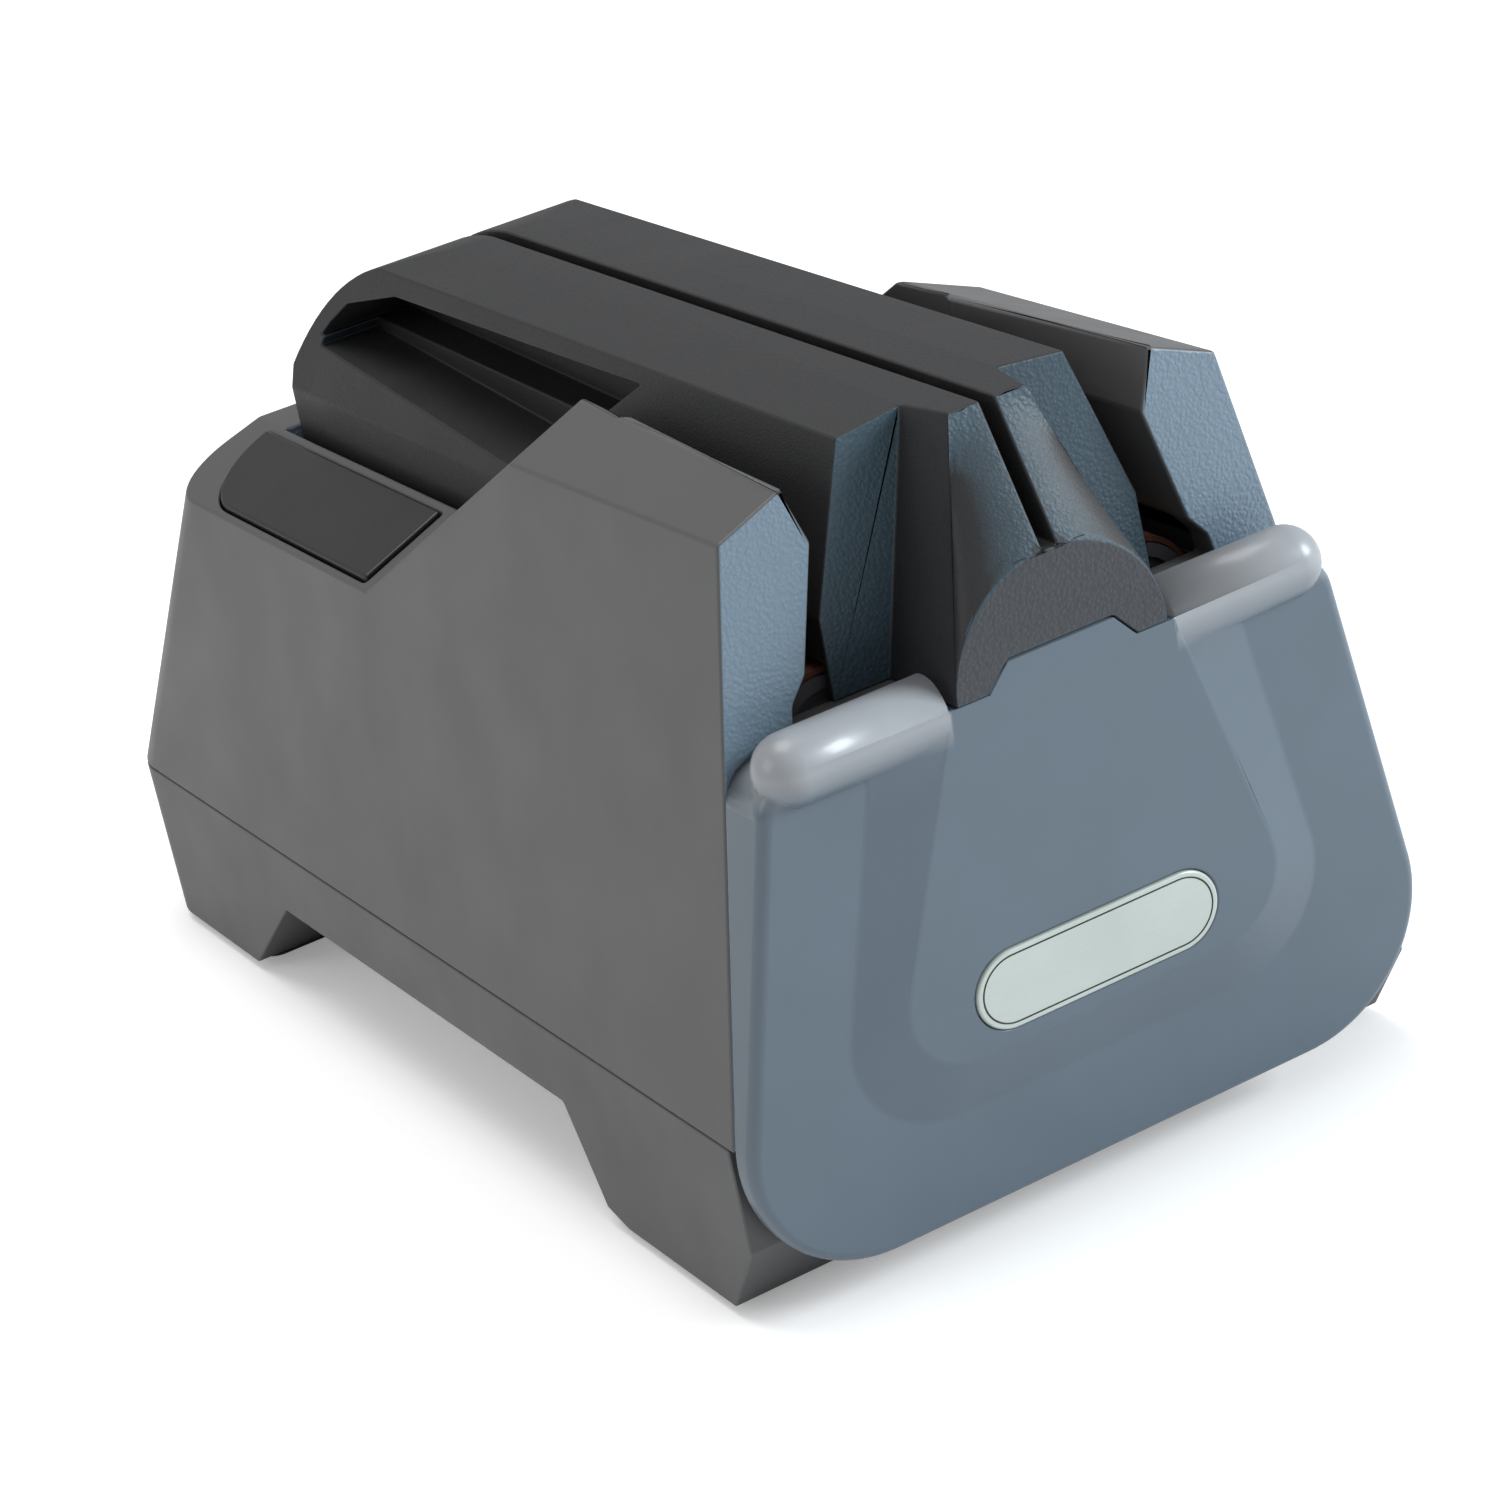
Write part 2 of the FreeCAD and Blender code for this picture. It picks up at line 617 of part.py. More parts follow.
def panel_wire(grow_top, grow_low, set_back):
    """Rounded outline of the raised panel on the leaning plane."""
    top_z = COVER_TOP_Z + 1
    top_x = PANEL_TOP_X + grow_top
    low_x = PANEL_LOW_X + grow_low
    bottom = PANEL_BOTTOM_Z - grow_low
    lean = (low_x - top_x) / (top_z - bottom)
    return rounded_trapezoid(lambda x, z: vec(x, cover_y(z, set_back), z), top_x, top_z, lean, bottom,
                             1.0, PANEL_CORNER_R + grow_low * 0.6)


def badge_solid(grow, front, back):
    """Pill shape across the leaning plane, between two depths square to it."""
    half = BADGE_WIDTH / 2 - BADGE_HEIGHT / 2
    radius = BADGE_HEIGHT / 2 + grow
    pill = box(-half, half, front, back, -radius, radius)
    for side in (-1, 1):
        pill = pill.fuse(rod(radius, side * half, 0, front, back))
    pill = pill.removeSplitter()
    pill.rotate(vec(0, 0, 0), vec(1, 0, 0), math.degrees(math.atan(COVER_LEAN)))
    pill.translate(vec(0, cover_y(BADGE_Z), BADGE_Z))
    return pill


def cover_block(inset):
    """Deep straight block on the cover's outline."""
    face = Part.Face(cover_outline(inset))
    face.translate(vec(0, -60, 0))
    return face.extrude(vec(0, 80, 0))


def make_front_cover():
    outline = cover_block(0)
    low, high = COVER_BOTTOM_Z - 1, COVER_TOP_Z + 1
    back = -COVER_GAP
    slab = prism_yz([(cover_y(low, FRAME_SET_BACK), low), (back, low), (back, high),
                     (cover_y(high, FRAME_SET_BACK), high)], -FAR, FAR)
    plate = outline.common(slab)
    front_edges = [e for e in plate.Edges
                   if e.BoundBox.YMax < cover_y(COVER_BOTTOM_Z, FRAME_SET_BACK) + 0.1
                   and abs(e.CenterOfMass.y - cover_y(e.CenterOfMass.z, FRAME_SET_BACK)) < 0.6
                   and e.CenterOfMass.z < COVER_TOP_Z - 1]
    plate = plate.makeFillet(2.4, front_edges)
    panel = Part.makeLoft([panel_wire(BAND_WIDTH_TOP, BAND_WIDTH_LOW, FRAME_SET_BACK + 0.5),
                           panel_wire(0, 0, 0)], True, True)
    # upright tongue under the cap of the guide
    tongue = prism_xz(mirrored([
        (PANEL_TOP_X - 1, COVER_TOP_Z - 8),
        (PANEL_TOP_X - 1, BAY_FLOOR_Z - CAP_GAP),
        (TONGUE_FOOT_X, BAY_FLOOR_Z - CAP_GAP),
        (TONGUE_TOP_X, TONGUE_TOP_Z - CAP_GAP),
    ]), cover_y(TONGUE_TOP_Z), back)
    lean = prism_yz([(cover_y(80), 80), (back, 80), (back, 140), (cover_y(140), 140)], -FAR, FAR)
    tongue = tongue.common(lean)
    # grip roll along the top, on both sides of the tongue
    roll_y = cover_y(COVER_TOP_Z) + ROLL_RADIUS
    roll_z = COVER_TOP_Z - 0.5
    outer_x = side_x(roll_z) - ROLL_RADIUS - 0.5
    rolls = []
    for side in (-1, 1):
        start = vec(side * ROLL_INNER_X, roll_y, roll_z)
        bar = Part.makeCylinder(ROLL_RADIUS, outer_x - ROLL_INNER_X, start, vec(side, 0, 0))
        knob = Part.makeSphere(ROLL_RADIUS, vec(side * outer_x, roll_y, roll_z))
        ends = sorted((side * ROLL_INNER_X, side * outer_x))
        saddle = prism_yz([(roll_y, roll_z - ROLL_RADIUS), (back, roll_z - ROLL_RADIUS),
                           (back, BAY_FLOOR_Z), (roll_y, roll_z + ROLL_RADIUS)], ends[0], ends[1])
        rolls.append(bar.fuse(knob).fuse(saddle))
    hollow = cover_block(2 * COVER_WALL).common(prism_yz([
        (cover_y(COVER_BOTTOM_Z, FRAME_SET_BACK + COVER_WALL), COVER_BOTTOM_Z),
        (back + 1, COVER_BOTTOM_Z),
        (back + 1, roll_z - ROLL_RADIUS - COVER_WALL),
        (cover_y(roll_z - ROLL_RADIUS - COVER_WALL, FRAME_SET_BACK + COVER_WALL), roll_z - ROLL_RADIUS - COVER_WALL),
    ], -FAR, FAR))
    whole = fused([plate, panel, tongue] + rolls).cut(hollow)
    pegs = [rod(PEG_RADIUS, side * PEG_X, PEG_Z, cover_y(PEG_Z, FRAME_SET_BACK + 1), PEG_LENGTH)
            for side in (-1, 1)]
    whole = fused([whole] + pegs)
    return whole.cut(badge_solid(BADGE_GAP, -5, BADGE_THICK))


def make_badge():
    return badge_solid(0, -BADGE_PROUD, BADGE_THICK)


def guide_section(inset, bottom, top_drop):
    return mirrored([
        (GUIDE_FOOT_X - inset, bottom),
        (GUIDE_KNEE_X - inset, GUIDE_KNEE_Z),
        (GUIDE_EDGE_X - inset, GUIDE_EDGE_Z - top_drop),
        (GUIDE_CROWN_X, GUIDE_TOP_Z - top_drop),
    ])


def guide_profile():
    """Side view of the guide, with its tail bent down in one arc."""
    top = GUIDE_TOP_Z + 2
    bend = vec(0, GUIDE_BEND_Y, GUIDE_TOP_Z)
    tail = vec(0, GUIDE_REAR_Y, GUIDE_TAIL_Z)
    middle = vec(0, GUIDE_BEND_Y + (GUIDE_REAR_Y - GUIDE_BEND_Y) * 0.62,
                 GUIDE_TOP_Z - (GUIDE_TOP_Z - GUIDE_TAIL_Z) * 0.36)
    front = GUIDE_FRONT_Y
    edges = [
        Part.makeLine(vec(0, front, BAY_FLOOR_Z), vec(0, front, top)),
        Part.makeLine(vec(0, front, top), vec(0, GUIDE_BEND_Y - 30, top)),
        Part.makeLine(vec(0, GUIDE_BEND_Y - 30, top), bend),
        Part.Arc(bend, middle, tail).toShape(),
        Part.makeLine(tail, vec(0, GUIDE_REAR_Y, BAY_FLOOR_Z)),
        Part.makeLine(vec(0, GUIDE_REAR_Y, BAY_FLOOR_Z), vec(0, front, BAY_FLOOR_Z)),
    ]
    face = Part.Face(Part.Wire(edges))
    face.translate(vec(-HALF_WIDTH, 0, 0))
    return face.extrude(vec(BODY_WIDTH, 0, 0))


def grip_outline(floor_lift):
    """Outline of the finger hollow on Y and Z, with its floor lifted."""
    floor = GRIP_FLOOR_Z + floor_lift
    top = GRIP_TOP_Z
    slant = GRIP_FRONT_SLANT * (top - floor) / (top - GRIP_FLOOR_Z)
    return [
        (GRIP_FRONT_Y, top),
        (GUIDE_BEND_Y + 2, top - 1),
        (GRIP_REAR_Y - 12, top - 6),
        (GRIP_REAR_Y - 4, top - 11),
        (GRIP_REAR_Y, GRIP_FLOOR_Z + GRIP_FLOOR_RISE + floor_lift / 3),
        (GRIP_FRONT_Y + slant, floor),
    ]


def grip_pocket(side):
    """Finger hollow in one flank, deeper above its ledge."""
    deep = prism_yz(grip_outline(GRIP_LEDGE_RISE), *sorted((side * GRIP_WEB_X, side * HALF_WIDTH)))
    shallow = prism_yz(grip_outline(0), *sorted((side * GRIP_LEDGE_X, side * HALF_WIDTH)))
    return deep.fuse(shallow)


def flat_face(points):
    return Part.Face(Part.makePolygon(points + points[:1]))


def make_nose():
    """Nose that runs from a narrow top edge to a half-round face over the cover.

    Its front is a ruled surface between the top edge and the half circle.
    """
    back = GUIDE_FRONT_Y + 1
    top, seat = GUIDE_TOP_Z, BAY_FLOOR_Z
    crown = seat + CAP_RADIUS
    high = [vec(-NOSE_TOP_X, NOSE_TOP_Y, top), vec(NOSE_TOP_X, NOSE_TOP_Y, top)]
    high_back = [vec(-GUIDE_CROWN_X, back, top), vec(GUIDE_CROWN_X, back, top)]
    low = [vec(-CAP_RADIUS, cover_y(seat), seat), vec(CAP_RADIUS, cover_y(seat), seat)]
    low_back = [vec(-CAP_RADIUS, back, seat), vec(CAP_RADIUS, back, seat)]
    arc = Part.Arc(low[0], vec(0, cover_y(crown), crown), low[1]).toShape()
    disc = Part.Face(Part.Wire([arc, Part.makeLine(low[1], low[0])]))
    front = Part.makeRuledSurface(Part.makeLine(*high), arc)
    sides = [Part.makeRuledSurface(Part.makeLine(high[i], high_back[i]), Part.makeLine(low[i], low_back[i]))
             for i in (0, 1)]
    flats = [flat_face([high[0], high[1], high_back[1], high_back[0]]),
             flat_face([low[0], low[1], low_back[1], low_back[0]]),
             flat_face([high_back[0], high_back[1], low_back[1], low_back[0]])]
    shell = Part.makeShell([disc, front] + sides + flats)
    shell.sewShape()
    nose = Part.makeSolid(shell)
    if nose.Volume < 0:
        nose.reverse()
    slot = prism_xz(mirrored([
        (TONGUE_FOOT_X, seat - 1),
        (TONGUE_FOOT_X, seat),
        (TONGUE_TOP_X, TONGUE_TOP_Z),
    ]), -60, GUIDE_FRONT_Y + 3)
    return nose.cut(slot)


def hone_slot():
    """Long narrow slot on the middle line, running out towards the tail."""
    half = HONE_SLOT_WIDTH / 2
    top = GUIDE_TOP_Z + 5
    return prism_yz([(-60, HONE_SLOT_FLOOR_Z), (-60, top), (HONE_SLOT_END_Y, top),
                     (HONE_SLOT_END_Y, GUIDE_TOP_Z - 6), (GUIDE_BEND_Y - 40, HONE_SLOT_FLOOR_Z)], -half, half)


def hone_box(side, grow):
    near = HONE_SLOT_WIDTH / 2
    ends = sorted((side * near, side * (near + HONE_THICK + grow)))
    floor = HONE_SLOT_FLOOR_Z
    return box(ends[0], ends[1], HONE_START_Y - grow, HONE_START_Y + HONE_LENGTH + grow,
               floor - grow, floor + HONE_HEIGHT + grow)


def make_knife_guide():
    body = prism_xz(guide_section(0, BAY_FLOOR_Z, 0), GUIDE_FRONT_Y, GUIDE_REAR_Y).common(guide_profile())
    body = fused([body, make_nose()])
    cavity = prism_xz(mirrored([(GUIDE_FOOT_X - WALL, BAY_FLOOR_Z - 1), (GUIDE_FOOT_X - WALL, GUIDE_CAVITY_Z)]),
                      GUIDE_FRONT_Y + 2, GUIDE_REAR_Y - WALL)
    notch = box(-FAR, FAR, ROLLER_FRONT_Y - ROLLER_END_GAP, ROLLER_REAR_Y + ROLLER_END_GAP, BAY_FLOOR_Z - 1,
                IDLER_Z + IDLER_RADIUS + BELT_THICK + ROLLER_END_GAP)
    body = body.cut(cavity).cut(notch).cut(hone_slot())
    for side in (-1, 1):
        body = body.cut(grip_pocket(side)).cut(hone_box(side, HONE_CLEARANCE))
    return body


def loop_length(drive_radius):
    """Length of the belt's middle line round a drive wheel of this radius."""
    drop = IDLER_Z - DRIVE_AXIS_Z
    small = IDLER_RADIUS + BELT_GAP + BELT_THICK / 2
    large = drive_radius + BELT_GAP + BELT_THICK / 2
    span = math.hypot(IDLER_X, drop)
    tilt = math.asin((large - small) / span)
    lean = math.atan2(IDLER_X, drop)
    run = math.sqrt(span ** 2 - (large - small) ** 2)
    wrap_small = math.pi / 2 + lean - tilt
    wrap_large = 2 * math.pi - 2 * wrap_small
    return 2 * IDLER_X + 2 * run + 2 * small * wrap_small + large * wrap_large


def fitting_radius():
    """Radius of the drive wheel that takes up exactly the belt's length."""
    low, high = IDLER_RADIUS / 2, IDLER_Z - DRIVE_AXIS_Z - IDLER_RADIUS
    for _ in range(60):
        middle = (low + high) / 2
        if loop_length(middle) < BELT_LENGTH:
            low = middle
        else:
            high = middle
    return (low + high) / 2


DRIVE_RADIUS = fitting_radius()


def loop_face(offset):
    """Face bounded by the belt line at an offset from the rollers."""
    small = IDLER_RADIUS + offset
    large = DRIVE_RADIUS + offset
    drop = IDLER_Z - DRIVE_AXIS_Z
    tilt = math.asin((large - small) / math.hypot(IDLER_X, drop))
    angle = -(math.atan2(IDLER_X, drop) - tilt)
    low = (large * math.cos(angle), DRIVE_AXIS_Z + large * math.sin(angle))
    high = (IDLER_X + small * math.cos(angle), IDLER_Z + small * math.sin(angle))
    half = (angle + math.pi / 2) / 2
    crown = (IDLER_X + small * math.cos(half), IDLER_Z + small * math.sin(half))
    top = IDLER_Z + small

    def at(x, z):
        return vec(x, BELT_FRONT_Y, z)

    edges = [
        Part.makeLine(at(-IDLER_X, top), at(IDLER_X, top)),
        Part.Arc(at(IDLER_X, top), at(*crown), at(*high)).toShape(),
        Part.makeLine(at(*high), at(*low)),
        Part.Arc(at(*low), at(0, DRIVE_AXIS_Z - large), at(-low[0], low[1])).toShape(),
        Part.makeLine(at(-low[0], low[1]), at(-high[0], high[1])),
        Part.Arc(at(-high[0], high[1]), at(-crown[0], crown[1]), at(-IDLER_X, top)).toShape(),
    ]
    return Part.Face(Part.Wire(edges))


def make_belt():
    outer = loop_face(BELT_GAP + BELT_THICK).extrude(vec(0, BELT_WIDTH, 0))
    inner = loop_face(BELT_GAP).extrude(vec(0, BELT_WIDTH, 0))
    return outer.cut(inner)


def make_idler(side):
    roller = rod(IDLER_RADIUS, side * IDLER_X, IDLER_Z, ROLLER_FRONT_Y, ROLLER_REAR_Y)
    groove = rod(IDLER_RADIUS - ROLLER_RIM, side * IDLER_X, IDLER_Z, ROLLER_FRONT_Y - 1,
                 ROLLER_FRONT_Y + ROLLER_RECESS)
    roller = roller.cut(groove.cut(rod(PIN_HEAD_RADIUS, side * IDLER_X, IDLER_Z, -FAR, FAR)))
    return roller.cut(rod(IDLER_PIN_RADIUS + PIN_CLEARANCE, side * IDLER_X, IDLER_Z, -FAR, FAR))


def make_idler_pin(side):
    x = side * IDLER_X
    head_y = ROLLER_FRONT_Y - JOIN_GAP - PIN_HEAD_THICK
    pin = rod(IDLER_PIN_RADIUS, x, IDLER_Z, head_y, PLATE_REAR_Y)
    head = rod(PIN_HEAD_RADIUS, x, IDLER_Z, head_y, head_y + PIN_HEAD_THICK)
    collar = rod(PIN_HEAD_RADIUS, x, IDLER_Z, ROLLER_REAR_Y + JOIN_GAP, PLATE_FRONT_Y)
    return fused([pin, head, collar])


def make_mechanism_plate():
    ear_x = IDLER_X + IDLER_RADIUS
    ear_low = IDLER_Z - PLATE_EAR_DROP
    plate = prism_xz(mirrored([
        (PLATE_WAIST, LEG_FLOOR_Z),
        (PLATE_WAIST, DRIVE_AXIS_Z),
        (ear_x, ear_low),
        (ear_x, IDLER_Z + PLATE_EAR_HEIGHT),
    ]), PLATE_FRONT_Y, PLATE_REAR_Y)
    shelf = box(-PLATE_WAIST, PLATE_WAIST, PLATE_FRONT_Y, PLATE_REAR_Y + PLATE_SHELF_DEPTH,
                LEG_FLOOR_Z, LEG_FLOOR_Z + PLATE_THICK)
    plate = plate.fuse(shelf)
    plate = plate.cut(box(-PLATE_CUT_X, PLATE_CUT_X, PLATE_FRONT_Y - 1, PLATE_REAR_Y + 1,
                          DRIVE_AXIS_Z + MOTOR_RADIUS + PLATE_CUT_GAP, ear_low))
    plate = plate.cut(rod(MOTOR_BOSS_RADIUS + JOIN_GAP, 0, DRIVE_AXIS_Z, -FAR, FAR))
    for side in (-1, 1):
        plate = plate.cut(rod(IDLER_PIN_RADIUS, side * IDLER_X, IDLER_Z, -FAR, FAR))
    for x in MOTOR_SCREW_XS:
        plate = plate.cut(rod(MOTOR_SCREW_RADIUS + PIN_CLEARANCE, x, DRIVE_AXIS_Z, -FAR, FAR))
    return plate.removeSplitter()


def make_motor_can():
    can = rod(MOTOR_RADIUS, 0, DRIVE_AXIS_Z, PLATE_REAR_Y, MOTOR_REAR_Y)
    rims = [e for e in can.Edges if e.BoundBox.YLength < 0.1 and e.BoundBox.ZLength > MOTOR_RADIUS]
    can = can.makeFillet(MOTOR_EDGE_R, rims)
    boss = rod(MOTOR_BOSS_RADIUS, 0, DRIVE_AXIS_Z, PLATE_FRONT_Y - 1, PLATE_REAR_Y + 1)
    tail = rod(MOTOR_BOSS_RADIUS, 0, DRIVE_AXIS_Z, MOTOR_REAR_Y - 1, MOTOR_REAR_Y + MOTOR_BOSS_LENGTH)
    can = fused([can, boss, tail])
    can = can.cut(rod(SHAFT_RADIUS + SHAFT_CLEARANCE, 0, DRIVE_AXIS_Z, -FAR, FAR))
    for x in MOTOR_SCREW_XS:
        can = can.cut(rod(MOTOR_SCREW_RADIUS + PIN_CLEARANCE, x, DRIVE_AXIS_Z, PLATE_REAR_Y - 1,
                          PLATE_REAR_Y + MOTOR_SCREW_GRIP + 1))
    return can


def make_motor_shaft():
    return rod(SHAFT_RADIUS, 0, DRIVE_AXIS_Z, ROLLER_FRONT_Y - 1, FAN_FRONT_Y + FAN_THICK)


def make_drive_wheel():
    wheel = rod(DRIVE_RADIUS, 0, DRIVE_AXIS_Z, ROLLER_FRONT_Y, ROLLER_REAR_Y)
    recess = rod(DRIVE_RADIUS - WHEEL_RIM, 0, DRIVE_AXIS_Z, ROLLER_FRONT_Y - 1, ROLLER_FRONT_Y + WHEEL_RECESS)
    recess = recess.cut(rod(WHEEL_HUB_RADIUS, 0, DRIVE_AXIS_Z, -FAR, FAR))
    wheel = wheel.cut(recess)
    circle = (WHEEL_HUB_RADIUS + DRIVE_RADIUS - WHEEL_RIM) / 2
    for step in range(WHEEL_HOLES):
        turn = 2 * math.pi * step / WHEEL_HOLES
        wheel = wheel.cut(rod(WHEEL_HOLE_RADIUS, circle * math.cos(turn), DRIVE_AXIS_Z + circle * math.sin(turn),
                              -FAR, FAR))
    return wheel.cut(rod(SHAFT_RADIUS + SHAFT_CLEARANCE, 0, DRIVE_AXIS_Z, -FAR, FAR))


def make_fan():
    rear = FAN_FRONT_Y + FAN_THICK
    hub = rod(FAN_HUB_RADIUS, 0, DRIVE_AXIS_Z, FAN_FRONT_Y, rear)
    disc = rod(FAN_RADIUS, 0, DRIVE_AXIS_Z, FAN_FRONT_Y, FAN_FRONT_Y + FAN_DISC_THICK)
    blades = []
    for step in range(FAN_BLADES):
        blade = box(SHAFT_RADIUS + FAN_DISC_THICK, FAN_RADIUS - FAN_DISC_THICK / 3, FAN_FRONT_Y + FAN_DISC_THICK / 2,
                    rear, -FAN_BLADE_THICK / 2, FAN_BLADE_THICK / 2)
        blade.translate(vec(0, 0, DRIVE_AXIS_Z))
        blade.rotate(vec(0, 0, DRIVE_AXIS_Z), vec(0, 1, 0), 360.0 / FAN_BLADES * step)
        blades.append(blade)
    fan = fused([hub, disc] + blades)
    return fan.cut(rod(SHAFT_RADIUS + SHAFT_CLEARANCE, 0, DRIVE_AXIS_Z, -FAR, FAR))


def make_motor_screws():
    screws = []
    for x in MOTOR_SCREW_XS:
        shank = rod(MOTOR_SCREW_RADIUS, x, DRIVE_AXIS_Z, PLATE_FRONT_Y, PLATE_REAR_Y + MOTOR_SCREW_GRIP)
        head = rod(MOTOR_SCREW_HEAD_R, x, DRIVE_AXIS_Z, PLATE_FRONT_Y - MOTOR_SCREW_HEAD_THICK, PLATE_FRONT_Y)
        screws.append(shank.fuse(head).removeSplitter())
    return Part.makeCompound(screws)


def make_base_screws():
    screws = []
    for x, y in boss_places():
        head_z = BELLY_Z + 1
        head = post(SCREW_HEAD_RADIUS, x, y, head_z, head_z + SCREW_HEAD_THICK)
        shank = post(SCREW_RADIUS, x, y, head_z + SCREW_HEAD_THICK, head_z + SCREW_LENGTH)
        screws.append(head.fuse(shank).removeSplitter())
    return Part.makeCompound(screws)


def make_button():
    top = below_deck(BUTTON_PROUD)
    body = button_outline(0).extrude(vec(0, 0, FAR)).common(top)
    flange_top = deck_z(BUTTON_OUTER_X + BUTTON_FLANGE) - WALL - JOIN_GAP
    bottom = deck_z(BUTTON_OUTER_X) + BUTTON_PROUD - BUTTON_SKIRT
    body = body.cut(box(-FAR, FAR, -FAR, FAR, -1, bottom))
    flange = button_outline(BUTTON_FLANGE).extrude(vec(0, 0, flange_top - bottom))
    flange.translate(vec(0, 0, bottom))
    body = fused([body, flange.common(housing_block(WALL + JOIN_GAP))])
    hollow = button_outline(-WALL).extrude(vec(0, 0, FAR)).common(below_deck(BUTTON_PROUD - WALL))
    hollow = hollow.cut(box(-FAR, FAR, -FAR, FAR, -1, bottom - 1))
    # ribs that press the switch and hold the spring
    x, y = button_middle()
    for place, reach in ((y + SWITCH_OFFSET_Y, PUSHER_HALF), (y + SPRING_OFFSET_Y, SPRING_SEAT_HALF)):
        hollow = hollow.cut(box(x - reach, x + reach, place - reach, place + reach, bottom, FAR))
    return body.cut(hollow)


def make_switch():
    x, y = button_middle()
    y += SWITCH_OFFSET_Y
    z = bracket_z()
    block = box(x - SWITCH_WIDTH / 2, x + SWITCH_WIDTH / 2, y - SWITCH_LENGTH / 2, y + SWITCH_LENGTH / 2,
                z, z + SWITCH_HEIGHT)
    stem = post(STEM_RADIUS, x, y, z + SWITCH_HEIGHT, z + SWITCH_HEIGHT + STEM_HEIGHT)
    return block.fuse(stem).removeSplitter()


def make_spring():
    x, y = button_middle()
    y += SPRING_OFFSET_Y
    bottom = bracket_z()
    top = deck_z(BUTTON_OUTER_X) + BUTTON_PROUD - BUTTON_SKIRT
    return post(SPRING_RADIUS, x, y, bottom, top).cut(post(SPRING_RADIUS - SPRING_WALL, x, y, bottom - 1, top + 1))


def make_switch_bracket():
    x, _ = button_middle()
    ends = [y for _, y in bracket_posts()]
    z = bracket_z()
    half = SWITCH_WIDTH / 2 + BRACKET_MARGIN
    plate = box(x - half, x + half, ends[0] - POST_RADIUS - 1, ends[1] + POST_RADIUS + 1, z - BRACKET_THICK, z)
    return plate.makeFillet(BRACKET_MARGIN, [e for e in plate.Edges if e.BoundBox.ZLength > 1])


def board_posts():
    x = BOARD_WIDTH / 2 - POST_RADIUS
    rows = (BOARD_FRONT_Y + POST_RADIUS, BOARD_FRONT_Y + BOARD_LENGTH - POST_RADIUS)
    return [(side * x, y) for side in (-1, 1) for y in rows]


def make_circuit_board():
    z = TRAY_FLOOR_Z + BOARD_STANDOFF
    half = BOARD_WIDTH / 2
    board = box(-half, half, BOARD_FRONT_Y, BOARD_FRONT_Y + BOARD_LENGTH, z, z + BOARD_THICK)
    top = z + BOARD_THICK
    parts = [board]
    for step in range(2):
        y = BOARD_FRONT_Y + 14 + step * 2.6 * CAPACITOR_RADIUS
        parts.append(post(CAPACITOR_RADIUS, -half / 2, y, top, top + CAPACITOR_HEIGHT))
    parts.append(box(4, half - 6, BOARD_FRONT_Y + 8, BOARD_FRONT_Y + 28, top, top + 14))
    parts.append(box(2, half - 8, BOARD_FRONT_Y + 38, BOARD_FRONT_Y + 42, top, top + 16))
    return fused(parts)


def make_cord_gland():
    wall_rear = BODY_REAR_Y - TRAY_LIP_INSET
    outer = GLAND_BORE_R + GLAND_WALL
    wide = outer + GLAND_FLANGE_GROW
    tube = rod(outer, 0, GLAND_Z, wall_rear - GLAND_LENGTH, BODY_REAR_Y)
    flange = rod(wide, 0, GLAND_Z, BODY_REAR_Y, BODY_REAR_Y + GLAND_FLANGE)
    collar = rod(wide, 0, GLAND_Z, wall_rear - WALL - GLAND_FLANGE, wall_rear - WALL)
    gland = fused([tube, flange, collar])
    return gland.cut(rod(GLAND_BORE_R, 0, GLAND_Z, -FAR, FAR))


def all_pieces():
    pieces = {
        "base_tray": make_base_tray(),
        "upper_housing": make_upper_housing(),
        "front_cover": make_front_cover(),
        "badge_plate": make_badge(),
        "knife_guide": make_knife_guide(),
        "hone_left": hone_box(-1, 0),
        "hone_right": hone_box(1, 0),
        "abrasive_belt": make_belt(),
        "idler_left": make_idler(-1),
        "idler_right": make_idler(1),
        "idler_pin_left": make_idler_pin(-1),
        "idler_pin_right": make_idler_pin(1),
        "mechanism_plate": make_mechanism_plate(),
        "motor_can": make_motor_can(),
        "motor_shaft": make_motor_shaft(),
        "drive_wheel": make_drive_wheel(),
        "cooling_fan": make_fan(),
        "motor_screws": make_motor_screws(),
        "base_screws": make_base_screws(),
        "power_button": make_button(),
        "button_spring": make_spring(),
        "power_switch": make_switch(),
        "switch_bracket": make_switch_bracket(),
        "circuit_board": make_circuit_board(),
        "cord_gland": make_cord_gland(),
    }
    for name, (x, y) in foot_places().items():
        pieces[name] = foot_block(x, y, 0)
    return pieces


def main():
    os.makedirs("parts", exist_ok=True)
    pieces = all_pieces()
    whole = Part.makeCompound(list(pieces.values())).BoundBox
    middle = (whole.YMin + whole.YMax) / 2
    print("length", round(whole.YLength, 2), "width", round(whole.XLength, 2), "height", round(whole.ZMax, 2))
    print("moved back by", round(middle, 3), "drive axis height", round(DRIVE_AXIS_Z, 3))
    print("switch plate top", round(bracket_z(), 3))
    for name, shape in pieces.items():
        shape.translate(vec(0, -middle, 0))
        shape.exportStep("parts/" + name + ".step")
        box_of = shape.BoundBox
        print(name, len(shape.Solids), shape.isValid(), round(shape.Volume / 1000, 2),
              [round(v, 1) for v in (box_of.XMin, box_of.XMax, box_of.YMin, box_of.YMax, box_of.ZMin, box_of.ZMax)])


main()
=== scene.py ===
"""Looks of a belt-type electric knife sharpener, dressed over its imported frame."""
import logging
import math
from dataclasses import dataclass
from enum import Enum
from typing import Any, Dict, List, Optional, Sequence, Set, Tuple

import bmesh
import bpy
from mathutils import Matrix, Vector
from mathutils.bvhtree import BVHTree


